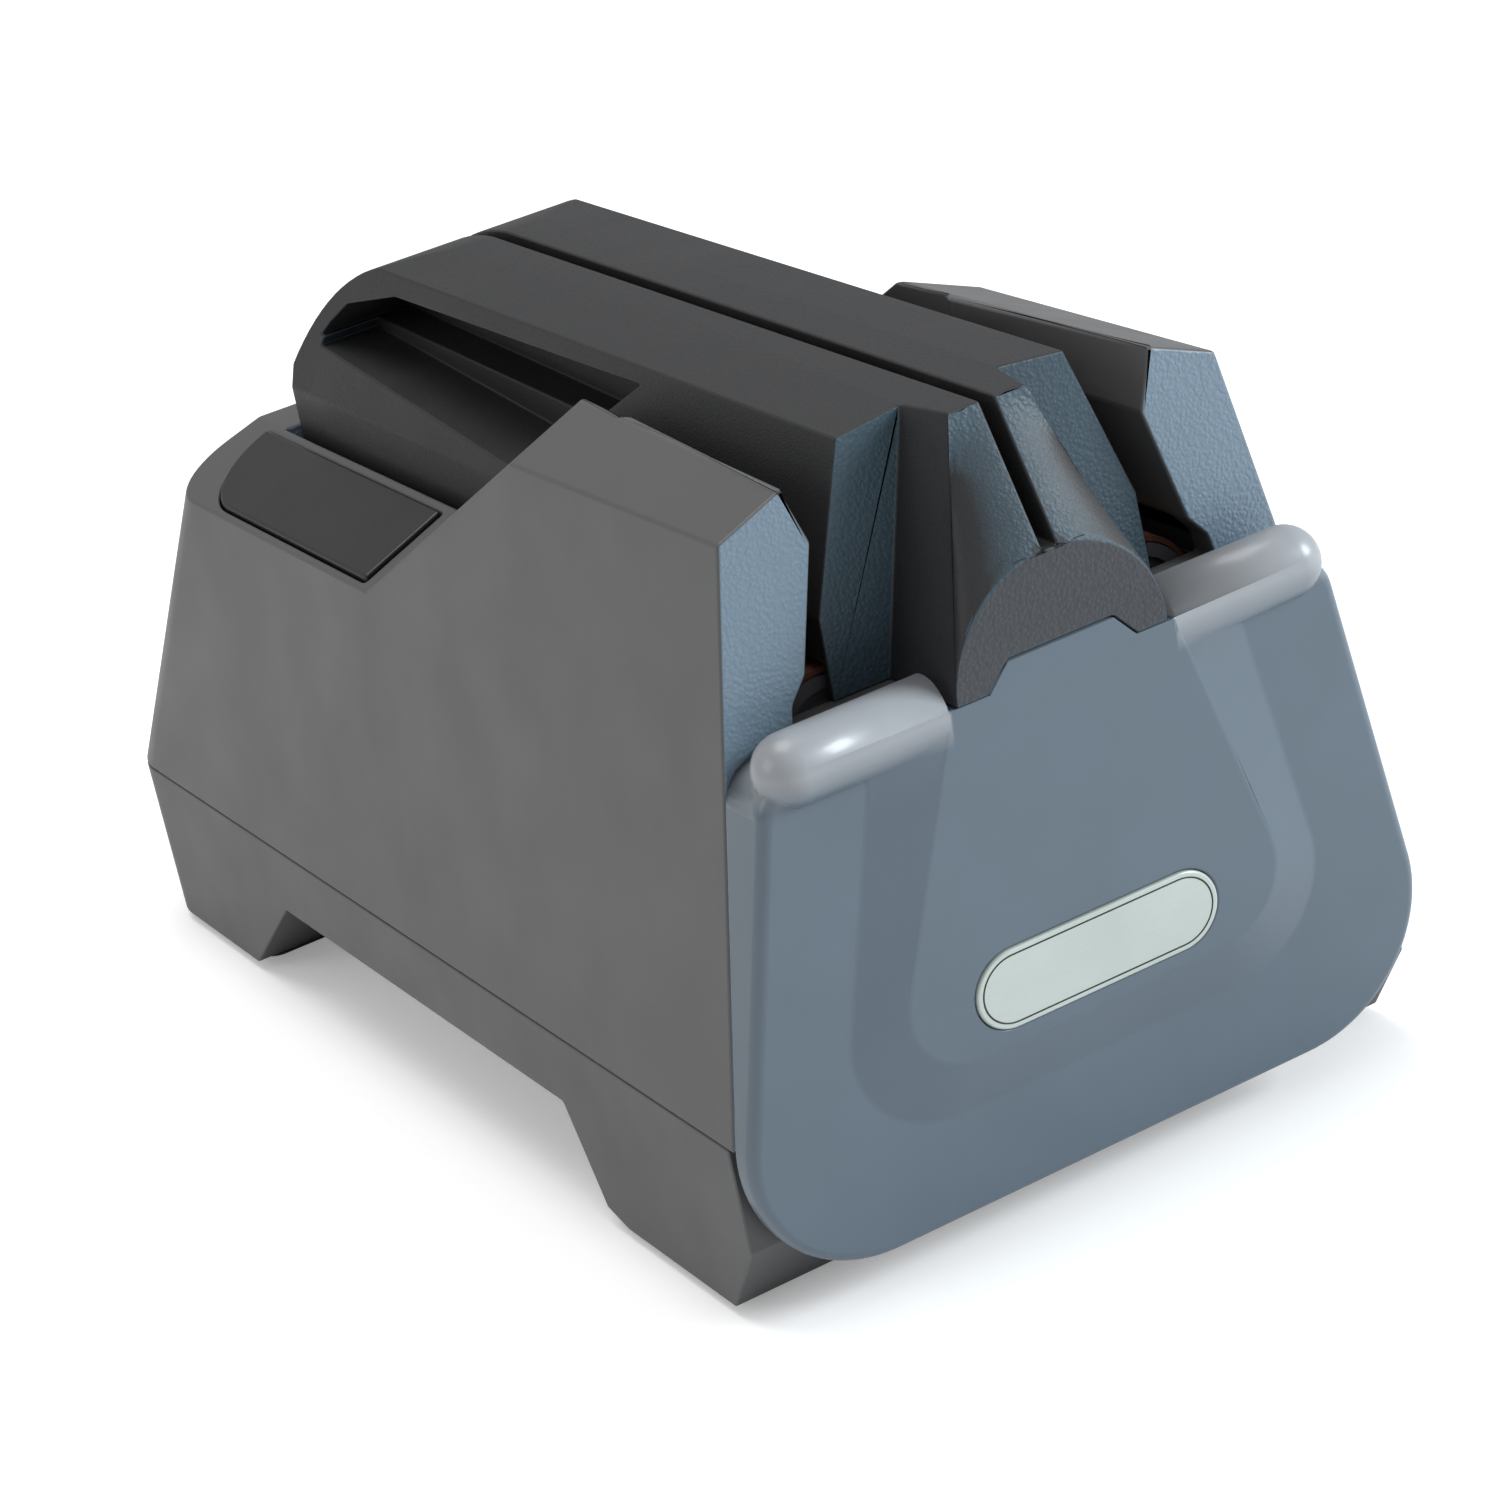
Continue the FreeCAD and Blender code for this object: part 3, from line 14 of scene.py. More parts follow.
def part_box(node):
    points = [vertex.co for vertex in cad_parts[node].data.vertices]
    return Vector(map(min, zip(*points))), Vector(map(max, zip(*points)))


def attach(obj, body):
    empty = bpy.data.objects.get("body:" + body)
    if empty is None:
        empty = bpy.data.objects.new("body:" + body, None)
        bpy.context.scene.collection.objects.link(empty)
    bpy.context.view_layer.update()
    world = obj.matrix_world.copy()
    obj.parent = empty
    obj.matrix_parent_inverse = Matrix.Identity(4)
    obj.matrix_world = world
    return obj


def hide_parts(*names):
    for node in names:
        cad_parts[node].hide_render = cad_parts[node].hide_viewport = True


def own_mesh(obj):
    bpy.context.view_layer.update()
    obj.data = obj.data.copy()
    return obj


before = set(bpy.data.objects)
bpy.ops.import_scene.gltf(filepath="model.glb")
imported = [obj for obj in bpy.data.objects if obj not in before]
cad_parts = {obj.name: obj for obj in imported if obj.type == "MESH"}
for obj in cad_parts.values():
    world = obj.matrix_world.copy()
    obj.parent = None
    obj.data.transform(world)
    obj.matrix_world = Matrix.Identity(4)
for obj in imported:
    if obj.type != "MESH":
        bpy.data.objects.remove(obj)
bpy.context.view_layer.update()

Colour = Tuple[float, float, float]
Triple = Tuple[float, float, float]
Key = Tuple[int, int, int]
Socket = bpy.types.NodeSocket

MM = 0.001
SEED = 7
WHITE = (1.0, 1.0, 1.0, 1.0)

# Joining and rounding of copied pieces
STEP = 0.005 * MM
WELD = 0.002 * MM
CREASE_ANGLE = math.radians(9.0)
FLAT_ANGLE = math.radians(0.1)
ABOVE_ALL = 1.0
BEVEL_FACES = 3
FAR_OFF = 0.55
EVEN_WEIGHT = 90

# Slow clouds of colour and shine over every finish
CLOUD_SIZE = 22 * MM
CLOUD_DETAIL = 4.0
CLOUD_RANGE = (0.3, 0.7)
ROUGH_CLOUD = 0.05
ROUGH_RELIEF = 0.04
COAT_ROUGHNESS = 0.12

# Relief of the finishes, and how it shades their colour
GRAIN_DETAIL = 3.0
GRAIN_ROUGHNESS = 0.6
VALLEY_RANGE = (0.1, 0.8)
PEAK_SHARE = 0.5
PEBBLE_WARP = 0.7
PEBBLE_BEND = 0.9
PEBBLE_SMOOTHNESS = 0.35
PEBBLE_DOME = (0.15, 0.75)
PEBBLE_DETAIL = 2.0
PEBBLE_FINE = 2.7
DOME_SHARE = 0.8
FINE_SHARE = 0.2

# How far a face looks to the front, and how softly areas of painted sheen and other colour end
FRONT_RANGE = (-0.80, -0.93)
CAP_RANGE = (-0.975, -0.99)
CAP_SOFT = 1.0 * MM
OUT_SOFT = 0.3 * MM

log = logging.getLogger("sharpener")


class Grain(Enum):
    """Surface patterns of the finishes."""

    FINE = "fine"
    LEATHER = "leather"
    BRUSHED = "brushed"
    GRIT = "grit"
    POLISHED = "polished"


class Pointing(Enum):
    """Ways that a set of screws goes in."""

    UP = "up"
    REARWARD = "rearward"


class Nodes:
    """Short way to add and link nodes in one tree."""

    def __init__(self, tree: bpy.types.NodeTree) -> None:
        """Keeps the tree that nodes go into."""
        self.tree = tree

    def add(self, kind: str, inputs: Optional[Dict[Any, Any]] = None,
            **settings: Any) -> bpy.types.Node:
        """Adds a node.

        Args:
            kind: Blender's name for the node type.
            inputs: Constants or output sockets by input name or index.
            settings: Properties of the node itself.

        Returns:
            The new node.
        """
        node = self.tree.nodes.new(kind)
        for key, value in settings.items():
            setattr(node, key, value)
        for key, value in (inputs or {}).items():
            socket = node.inputs[key]
            if isinstance(value, bpy.types.NodeSocket):
                self.tree.links.new(value, socket)
            else:
                socket.default_value = value
        return node

    def math(self, operation: str, a: Any, b: Any = 0.0) -> Socket:
        """Result of one arithmetic node."""
        return self.add("ShaderNodeMath", {0: a, 1: b}, operation=operation).outputs[0]

    def vector(self, operation: str, inputs: Dict[Any, Any]) -> Socket:
        """Result of one vector arithmetic node."""
        return self.add("ShaderNodeVectorMath", inputs, operation=operation).outputs[0]

    def xyz(self, x: Any = 0.0, y: Any = 0.0, z: Any = 0.0) -> Socket:
        """Vector of three components."""
        return self.add("ShaderNodeCombineXYZ", {0: x, 1: y, 2: z}).outputs[0]

    def axis(self, vector: Socket, index: int) -> Socket:
        """One component of a vector."""
        return self.add("ShaderNodeSeparateXYZ", {0: vector}).outputs[index]

    def noise(self, place: Socket, scale: float, detail: float,
              roughness: float = 0.5) -> bpy.types.Node:
        """Noise texture at a place."""
        return self.add("ShaderNodeTexNoise", {"Vector": place, "Scale": scale, "Detail": detail,
                                               "Roughness": roughness})

    def span(self, value: Any, low: float, high: float,
             start: float = 0.0, end: float = 1.0) -> Socket:
        """Value mapped from low..high to start..end, and clamped."""
        return self.add("ShaderNodeMapRange",
                        {0: value, 1: low, 2: high, 3: start, 4: end}).outputs[0]

    def blend(self, factor: Any, a: Any, b: Any) -> Socket:
        """Colour between a and b."""
        return self.add("ShaderNodeMix", {0: factor, 6: a, 7: b}, data_type="RGBA").outputs[2]

    def join(self, *shapes: Socket) -> Socket:
        """Joins shapes into one geometry.

        Args:
            shapes: The shapes, in the order in which they are linked.

        Returns:
            The joined geometry.
        """
        joined = self.add("GeometryNodeJoinGeometry")
        for shape in shapes:
            self.tree.links.new(shape, joined.inputs[0])
        return joined.outputs[0]

    def stand(self, points: Socket, piece: Socket, **more: Socket) -> Socket:
        """Sets a copy of a piece on every point.

        Args:
            points: Where the copies go.
            piece: What is copied.
            more: Rotation and Scale of the copies, if they vary.

        Returns:
            The copies.
        """
        inputs = {"Points": points, "Instance": piece, **more}
        return self.add("GeometryNodeInstanceOnPoints", inputs).outputs[0]


@dataclass(frozen=True)
class Finish:
    """One surface finish: its colour, shine and pattern.

    Sizes of the pattern are in metres. The front colour is a painted
    reflection of the cool front light on faces that look to the front,
    where the moulding is also textured. high_color is the colour above
    high_z and farther out than high_x, with a border of high_soft on each
    side; on the cover it is a painted highlight. The cap colour is a
    painted lighter tone, where light falls on upright faces ahead of cap_y.
    """

    name: str
    slot: str
    color: Colour
    roughness: float
    grain: Grain = Grain.FINE
    cell: float = 0.35 * MM
    depth: float = 0.02 * MM
    metallic: float = 0.0
    mottle: float = 0.10
    coat: float = 0.0
    stretch: Triple = (1.0, 1.0, 1.0)
    front_sheen_color: Optional[Colour] = None
    front_cell: float = 0.85 * MM
    front_depth: float = 0.12 * MM
    cap_lit_color: Optional[Colour] = None
    cap_y: float = 0.0
    high_color: Optional[Colour] = None
    high_z: float = 0.0
    high_x: float = -1.0
    high_soft: float = 1.0 * MM
    shine: float = 0.5

    def material(self) -> bpy.types.Material:
        """Material of this finish, built once.

        Returns:
            The procedural material.
        """
        made = bpy.data.materials.get(self.name)
        if made:
            return made
        made = bpy.data.materials.new(self.name)
        made.use_nodes = True
        made.node_tree.nodes.clear()
        made.diffuse_color = (*self.color, 1.0)
        nodes = Nodes(made.node_tree)
        place = nodes.add("ShaderNodeTexCoord").outputs["Object"]
        cloud = nodes.noise(place, 1 / CLOUD_SIZE, CLOUD_DETAIL).outputs[0]
        height, front = self.heights(nodes, place)
        color = self.colours(nodes, place, cloud, height, front)
        rough = nodes.span(cloud, *CLOUD_RANGE, self.roughness - ROUGH_CLOUD,
                           self.roughness + ROUGH_CLOUD)
        rough = nodes.math("ADD", rough, nodes.span(height, 0.0, 1.0, ROUGH_RELIEF, -ROUGH_RELIEF))
        depth = self.depth
        if front is not None:
            depth = nodes.span(front, 0.0, 1.0, self.depth, self.front_depth)
        bump = nodes.add("ShaderNodeBump", {"Height": height, "Distance": depth, "Strength": 1.0})
        shader = nodes.add("ShaderNodeBsdfPrincipled", {
            "Base Color": color, "Roughness": rough, "Metallic": self.metallic,
            "Specular IOR Level": self.shine, "Coat Weight": self.coat,
            "Coat Roughness": COAT_ROUGHNESS, "Normal": bump.outputs[0]})
        nodes.add("ShaderNodeOutputMaterial", {"Surface": shader.outputs[0]})
        return made

    def heights(self, nodes: Nodes, place: Socket) -> Tuple[Socket, Optional[Socket]]:
        """Relief of the pattern, and the share of textured front faces.

        Args:
            nodes: Tree of the material.
            place: Object coordinates.

        Returns:
            The height from 0 to 1, and a mask socket or None.
        """
        tiled = nodes.add("ShaderNodeMapping", {"Vector": place, "Scale": self.stretch}).outputs[0]
        scale = 1 / self.cell
        if self.grain in (Grain.LEATHER, Grain.GRIT):
            height = self.pebbles(nodes, tiled, scale)
        else:
            height = nodes.noise(tiled, scale, GRAIN_DETAIL, GRAIN_ROUGHNESS).outputs[0]
        if self.front_sheen_color is None:
            return height, None
        front = nodes.span(self.facing(nodes), *FRONT_RANGE)
        leather = self.pebbles(nodes, place, 1 / self.front_cell)
        mixed = nodes.add("ShaderNodeMix", {0: front, 2: height, 3: leather}, data_type="FLOAT")
        return mixed.outputs[0], front

    def facing(self, nodes: Nodes) -> Socket:
        """How far a face looks along Y: -1 is straight to the front."""
        return nodes.axis(nodes.add("ShaderNodeNewGeometry").outputs["Normal"], 1)

    def pebbles(self, nodes: Nodes, place: Socket, scale: float) -> Socket:
        """Rounded cells with fine noise on them.

        Args:
            nodes: Tree of the material.
            place: Where the pattern is read.
            scale: Cells in a metre.

        Returns:
            The height from 0 to 1.
        """
        warp = nodes.noise(place, scale * PEBBLE_WARP, PEBBLE_DETAIL).outputs[1]
        bent = nodes.vector("SUBTRACT", {0: warp, 1: (0.5, 0.5, 0.5)})
        bent = nodes.vector("SCALE", {0: bent, "Scale": PEBBLE_BEND / scale})
        moved = nodes.vector("ADD", {0: place, 1: bent})
        cells = nodes.add("ShaderNodeTexVoronoi", {
            "Vector": moved, "Scale": scale, "Smoothness": PEBBLE_SMOOTHNESS},
            feature="SMOOTH_F1").outputs[0]
        dome = nodes.span(cells, *PEBBLE_DOME, 1.0, 0.0)
        fine = nodes.noise(place, scale * PEBBLE_FINE, PEBBLE_DETAIL).outputs[0]
        return nodes.math("ADD", nodes.math("MULTIPLY", dome, DOME_SHARE),
                          nodes.math("MULTIPLY", fine, FINE_SHARE))

    def areas(self, nodes: Nodes, place: Socket, front: Optional[Socket]) -> Any:
        """Colour of each area of the piece.

        Args:
            nodes: Tree of the material.
            place: Object coordinates.
            front: Mask of front faces, which are textured and get a painted cool reflection, or
                None.

        Returns:
            One plain colour, or a socket where areas differ.
        """
        color: Any = (*self.color, 1.0)
        # Painted cool reflection on faces that look to the front.
        if front is not None:
            color = nodes.blend(front, color, (*self.front_sheen_color, 1.0))
        # Painted lighter tone where light falls on upright faces ahead of cap_y.
        if self.cap_lit_color is not None:
            upright = nodes.span(self.facing(nodes), *CAP_RANGE)
            ahead = nodes.span(nodes.axis(place, 1), self.cap_y, self.cap_y - CAP_SOFT)
            mask = nodes.math("MULTIPLY", upright, ahead)
            color = nodes.blend(mask, color, (*self.cap_lit_color, 1.0))
        # Colour above high_z and farther out than high_x; on the cover this is a painted highlight
        # on the rolls.
        if self.high_color is not None:
            axes = nodes.add("ShaderNodeSeparateXYZ", {0: place}).outputs
            up = nodes.span(axes[2], self.high_z - self.high_soft, self.high_z + self.high_soft)
            out = nodes.span(nodes.math("ABSOLUTE", axes[0]),
                             self.high_x - OUT_SOFT, self.high_x + OUT_SOFT)
            color = nodes.blend(nodes.math("MULTIPLY", up, out), color, (*self.high_color, 1.0))
        return color

    def colours(self, nodes: Nodes, place: Socket, cloud: Socket, height: Socket,
                front: Optional[Socket]) -> Socket:
        """Base colour with soft mottling, darker in the pattern's valleys.

        Args:
            nodes: Tree of the material.
            place: Object coordinates.
            cloud: Slow noise.
            height: Relief of the pattern.
            front: Mask of front faces, which are textured and get a painted cool reflection, or
                None.

        Returns:
            The colour socket.
        """
        color = self.areas(nodes, place, front)
        shade = nodes.span(cloud, *CLOUD_RANGE, 1 - self.mottle, 1 + self.mottle)
        valley = nodes.span(height, *VALLEY_RANGE, 1 - self.mottle, 1 + self.mottle * PEAK_SHARE)
        shade = nodes.math("MULTIPLY", shade, valley)
        if not isinstance(color, bpy.types.NodeSocket):
            color = color[:3]
        return nodes.vector("SCALE", {0: color, "Scale": shade})


# Faces of the housing that look to the front get a lighter blue-grey: a painted reflection of the
# cool front light on the grey plastic.
HOUSING = Finish("housing_plastic", "housing_grey", (0.080, 0.080, 0.082), 0.44,
                 cell=0.25 * MM, depth=0.012 * MM, mottle=0.03, front_sheen_color=(0.138, 0.196, 0.250))
TRAY = Finish("tray_plastic", "housing_grey", (0.070, 0.071, 0.073), 0.46,
              cell=0.25 * MM, depth=0.012 * MM, mottle=0.03)
# The cover's plastic is grey; its blue tint is a painted reflection of the cool front light.
COVER = Finish("cover_satin", "cover_blue_grey", (0.082, 0.115, 0.148), 0.36,
               cell=0.20 * MM, depth=0.008 * MM, mottle=0.04, coat=0.15,
               # The lighter silver colour on the rolls, above high_z and farther out than high_x,
               # is a painted highlight of the top light.
               high_color=(0.27, 0.285, 0.305), high_z=109 * MM, high_x=24.3 * MM,
               high_soft=3 * MM)
BADGE = Finish("badge_satin", "badge_silver", (0.44, 0.49, 0.46), 0.36, Grain.BRUSHED,
               cell=0.30 * MM, depth=0.004 * MM, metallic=0.15, mottle=0.05,
               stretch=(0.06, 1.0, 1.0))
# Faces of the black guide that look to the front get a teal colour: a painted reflection of the
# cool front light.
GUIDE = Finish("guide_plastic", "guide_black", (0.019, 0.0195, 0.021), 0.52, Grain.LEATHER,
               cell=0.45 * MM, depth=0.035 * MM, front_sheen_color=(0.038, 0.068, 0.090),
               # Upright faces of the cap ahead of cap_y get a lighter charcoal in place of the
               # teal: painted light on the same black plastic.
               cap_lit_color=(0.038, 0.041, 0.048), cap_y=-150 * MM, shine=0.4)
BUTTON = Finish("button_gloss", "button_black", (0.006, 0.006, 0.007), 0.36, Grain.POLISHED,
                cell=0.8 * MM, depth=0.004 * MM, mottle=0.05)
RUBBER = Finish("foot_rubber", "rubber_black", (0.018, 0.018, 0.019), 0.80, Grain.LEATHER,
                cell=0.5 * MM, depth=0.03 * MM, mottle=0.12)
CLOTH = Finish("belt_cloth", "abrasive", (0.150, 0.052, 0.030), 0.85, Grain.GRIT,
               cell=0.28 * MM, depth=0.08 * MM, mottle=0.30)
STEEL = Finish("plated_steel", "steel", (0.52, 0.53, 0.55), 0.30, Grain.BRUSHED,
               cell=0.25 * MM, depth=0.006 * MM, metallic=1.0, mottle=0.06,
               stretch=(1.0, 0.08, 1.0))
ALUMINIUM = Finish("pressed_aluminium", "aluminium", (0.60, 0.61, 0.63), 0.36, Grain.BRUSHED,
                   cell=0.30 * MM, depth=0.008 * MM, metallic=1.0, mottle=0.06,
                   stretch=(1.0, 1.0, 0.08))
CERAMIC = Finish("hone_ceramic", "ceramic", (0.76, 0.74, 0.68), 0.38,
                 cell=0.12 * MM, depth=0.008 * MM, mottle=0.05)
WHEEL = Finish("wheel_plastic", "wheel_plastic", (0.070, 0.070, 0.078), 0.52,
               cell=0.30 * MM, depth=0.015 * MM)
BOARD = Finish("board_varnish", "board_green", (0.014, 0.13, 0.055), 0.28,
               cell=0.8 * MM, depth=0.01 * MM, mottle=0.15, coat=0.4,
               high_color=(0.045, 0.042, 0.040), high_z=34 * MM)


def link(name: str, mesh: bpy.types.Mesh) -> bpy.types.Object:
    """Puts a new object with this mesh in the scene.

    Args:
        name: Name of the object.
        mesh: Its mesh.

    Returns:
        The new object.
    """
    obj = bpy.data.objects.new(name, mesh)
    bpy.context.scene.collection.objects.link(obj)
    return obj


def settle(obj: bpy.types.Object) -> None:
    """Turns what an object's modifiers make of it into its own plain mesh.

    Args:
        obj: The object, which keeps no modifier.
    """
    graph = bpy.context.evaluated_depsgraph_get()
    mesh = bpy.data.meshes.new_from_object(
        obj.evaluated_get(graph), preserve_all_data_layers=True, depsgraph=graph)
    obj.modifiers.clear()
    old = obj.data
    obj.data = mesh
    mesh.name = obj.name
    bpy.data.meshes.remove(old)


def hand_over(obj: bpy.types.Object, body: str,
              nodes: Sequence[str]) -> bpy.types.Object:
    """Names what an object stands for in the frame.

    Args:
        obj: The finished piece.
        body: The body that it rides on.
        nodes: The nodes that it replaces, if any.

    Returns:
        The same object.
    """
    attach(obj, body)
    if nodes:
        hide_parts(*nodes)
    log.info("%s: %d faces on %s for %s", obj.name, len(obj.data.polygons), body,
             ", ".join(nodes) or "no node")
    return obj


def spot(point: Vector) -> Key:
    """Whole-number key of a place, in steps of STEP."""
    return (round(point.x / STEP), round(point.y / STEP), round(point.z / STEP))


def creases(mesh: bpy.types.Mesh) -> Set[Tuple[Key, Key]]:
    """Edges where the surfaces on the two sides meet at an angle.

    Args:
        mesh: Mesh whose corner normals are those of the true surfaces.

    Returns:
        Pairs of keys of the ends of every such edge.
    """
    sides: Dict[Tuple[Key, Key], List[List[Vector]]] = {}
    normals = mesh.corner_normals
    for polygon in mesh.polygons:
        loops = list(polygon.loop_indices)
        for pair in zip(loops, loops[1:] + loops[:1]):
            ends = sorted((spot(mesh.vertices[mesh.loops[i].vertex_index].co), i) for i in pair)
            both = [normals[i].vector for _, i in ends]
            sides.setdefault((ends[0][0], ends[1][0]), []).append(both)
    least = math.cos(CREASE_ANGLE)
    return {edge for edge, pairs in sides.items()
            if len(pairs) == 2 and min(pairs[0][i].dot(pairs[1][i]) for i in (0, 1)) < least}


def welded(node: str, flatten: bool = False, top: float = ABOVE_ALL) -> bpy.types.Mesh:
    """Copy of a node's mesh with its split corners joined and its creases weighted.

    Args:
        node: The node to copy, whose place in the frame goes into the mesh.
        flatten: Also merge flat regions to single faces. Only for nodes
            whose flat faces have no holes.
        top: Creases above this height, in metres, get no weight.

    Returns:
        The new mesh.
    """
    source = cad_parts[node]
    mesh = source.data.copy()
    mesh.transform(source.matrix_world)
    sharp = creases(mesh)
    work = bmesh.new()
    work.from_mesh(mesh)
    bmesh.ops.remove_doubles(work, verts=work.verts, dist=WELD)
    weight = work.edges.layers.float.new("bevel_weight_edge")
    for edge in work.edges:
        if tuple(sorted(spot(v.co) for v in edge.verts)) in sharp:
            edge[weight] = float(min(v.co.z for v in edge.verts) < top)
            edge.smooth = not flatten
    if flatten:
        bmesh.ops.dissolve_limit(work, angle_limit=FLAT_ANGLE, verts=work.verts,
                                 edges=work.edges, delimit={"SHARP"})
        for edge in work.edges:
            edge.smooth = True
    work.to_mesh(mesh)
    work.free()
    mesh.materials.clear()
    return mesh


def dress(node: str, finish: Finish) -> None:
    """Gives a node that stays visible its finish.

    Args:
        node: The node.
        finish: Its finish.
    """
    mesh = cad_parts[node].data
    mesh.materials.clear()
    mesh.materials.append(finish.material())
    log.info("%s: finish %s", node, finish.name)


def pull_in(obj: bpy.types.Object, node: str, limit: float) -> None:
    """Puts corners that a rounding threw far off back onto the node's surface.

    Args:
        obj: The rounded piece.
        node: The node that it was copied from.
        limit: Largest distance that a corner may be off.
    """
    work = bmesh.new()
    work.from_mesh(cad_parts[node].data)
    work.transform(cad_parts[node].matrix_world)
    surface = BVHTree.FromBMesh(work)
    work.free()
    for vertex in obj.data.vertices:
        place, _, _, distance = surface.find_nearest(vertex.co)
        if distance > limit:
            vertex.co = place


def rounded(node: str, name: str, body: str, finish: Finish, width: float,
            flatten: bool = False, top: float = ABOVE_ALL) -> bpy.types.Object:
    """Copy of a node whose edges are rounded, as a moulded piece's are.

    Args:
        node: The node that it replaces.
        name: Name of the new piece.
        body: The body that it rides on.
        finish: Its finish.
        width: Width of the rounding, in metres.
        flatten: Whether flat regions are first merged to single faces.
        top: Edges above this height, in metres, stay sharp.

    Returns:
        The new piece.
    """
    obj = link(name, welded(node, flatten, top))
    obj.data.materials.append(finish.material())
    obj.data.shade_smooth()
    bevel = obj.modifiers.new("edges", "BEVEL")
    bevel.width = width
    bevel.segments = BEVEL_FACES
    bevel.limit_method = "WEIGHT"
    bevel.use_clamp_overlap = False
    bevel.loop_slide = False
    bevel.miter_outer = "MITER_ARC"
    settle(obj)
    pull_in(obj, node, FAR_OFF * width)
    even = obj.modifiers.new("even", "WEIGHTED_NORMAL")
    even.mode = "FACE_AREA"
    even.weight = EVEN_WEIGHT
    settle(obj)
    return hand_over(obj, body, [node])


class Growth:
    """Geometry Nodes tree with named size inputs, run once on a mesh."""

    def __init__(self, name: str, sizes: Dict[str, Any]) -> None:
        """Starts the tree.

        Args:
            name: Name of the tree.
            sizes: Values of its inputs by name.
        """
        self.group = bpy.data.node_groups.new(name, "GeometryNodeTree")
        self.sizes = sizes
        self.keys: Dict[str, str] = {}
        face = self.group.interface
        face.new_socket(name="Geometry", in_out="INPUT", socket_type="NodeSocketGeometry")
        for key, value in sizes.items():
            kind = "NodeSocketInt" if isinstance(value, int) else "NodeSocketFloat"
            socket = face.new_socket(name=key, in_out="INPUT", socket_type=kind)
            self.keys[key] = socket.identifier
        face.new_socket(name="Geometry", in_out="OUTPUT", socket_type="NodeSocketGeometry")
        self.nodes = Nodes(self.group)
        self.inlet = self.nodes.add("NodeGroupInput").outputs

    def end(self, shape: Socket, finish: Finish) -> None:
        """Closes the tree with its last two nodes.

        Args:
            shape: What the tree makes.
            finish: Its finish.
        """
        real = self.nodes.add("GeometryNodeRealizeInstances", {"Geometry": shape}).outputs[0]
        done = self.nodes.add("GeometryNodeSetMaterial", {
            "Geometry": real, "Material": finish.material()}).outputs[0]
        self.nodes.add("NodeGroupOutput", {0: done})

    def run(self, name: str, mesh: bpy.types.Mesh) -> bpy.types.Object:
        """Runs the tree on a mesh.

        Args:
            name: Name of the new object.
            mesh: What goes into the tree.

        Returns:
            A plain object with the result.
        """
        obj = link(name, mesh)
        modifier = obj.modifiers.new("growth", "NODES")
        modifier.node_group = self.group
        for key, value in self.sizes.items():
            modifier[self.keys[key]] = value
        settle(obj)
        return obj


@dataclass
class Housing:
    """Upper housing and the base tray under it."""

    edge: float = 0.7 * MM
    tray_edge: float = 0.45 * MM

    def build(self) -> None:
        """Makes both mouldings with rounded edges."""
        rounded("upper_housing", "housing_shell", "housing", HOUSING, self.edge)
        rounded("base_tray", "base_shell", "housing", TRAY, self.tray_edge)


@dataclass
class Feet:
    """Four rubber feet with cross ribs underneath.

    Corners of a foot below sole_z are lifted to pad_share of the ribs'
    height, so that the foot stands on its ribs.
    """

    rib_height: float = 0.9 * MM
    rib_width: float = 1.4 * MM
    pitch: float = 3.6 * MM
    margin: float = 3.0 * MM
    sole_z: float = 0.1 * MM
    pad_share: float = 0.7

    def build(self) -> None:
        """Makes every foot in turn."""
        for end in ("front", "rear"):
            for side in ("left", "right"):
                self.foot(f"foot_{end}_{side}", f"tread_{end}_{side}")

    def foot(self, node: str, name: str) -> None:
        """Pad lifted by the ribs, and the ribs that stand on the floor.

        Args:
            node: The foot that it replaces.
            name: Name of the new piece.
        """
        low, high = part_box(node)
        mesh = welded(node)
        for vertex in mesh.vertices:
            if vertex.co.z < self.sole_z:
                vertex.co.z = self.rib_height * self.pad_share
        run = high.y - low.y - 2 * self.margin
        growth = Growth(f"ribs_{name}", {
            "Ribs": int(run / self.pitch) + 1, "Pitch": self.pitch, "Rib width": self.rib_width,
            "Rib length": high.x - low.x - 2 * self.margin, "Rib height": self.rib_height})
        nodes, inlet = growth.nodes, growth.inlet
        half = nodes.math("MULTIPLY", inlet["Rib height"], 0.5)
        start = nodes.xyz((low.x + high.x) / 2, low.y + self.margin, half)
        line = nodes.add("GeometryNodeMeshLine", {
            "Count": inlet["Ribs"], "Start Location": start,
            "Offset": nodes.xyz(y=inlet["Pitch"])})
        size = nodes.xyz(inlet["Rib length"], inlet["Rib width"], inlet["Rib height"])
        rib = nodes.add("GeometryNodeMeshCube", {"Size": size})
        ribs = nodes.stand(line.outputs[0], rib.outputs[0])
        growth.end(nodes.join(inlet["Geometry"], ribs), RUBBER)
        hand_over(growth.run(name, mesh), "housing", [node])


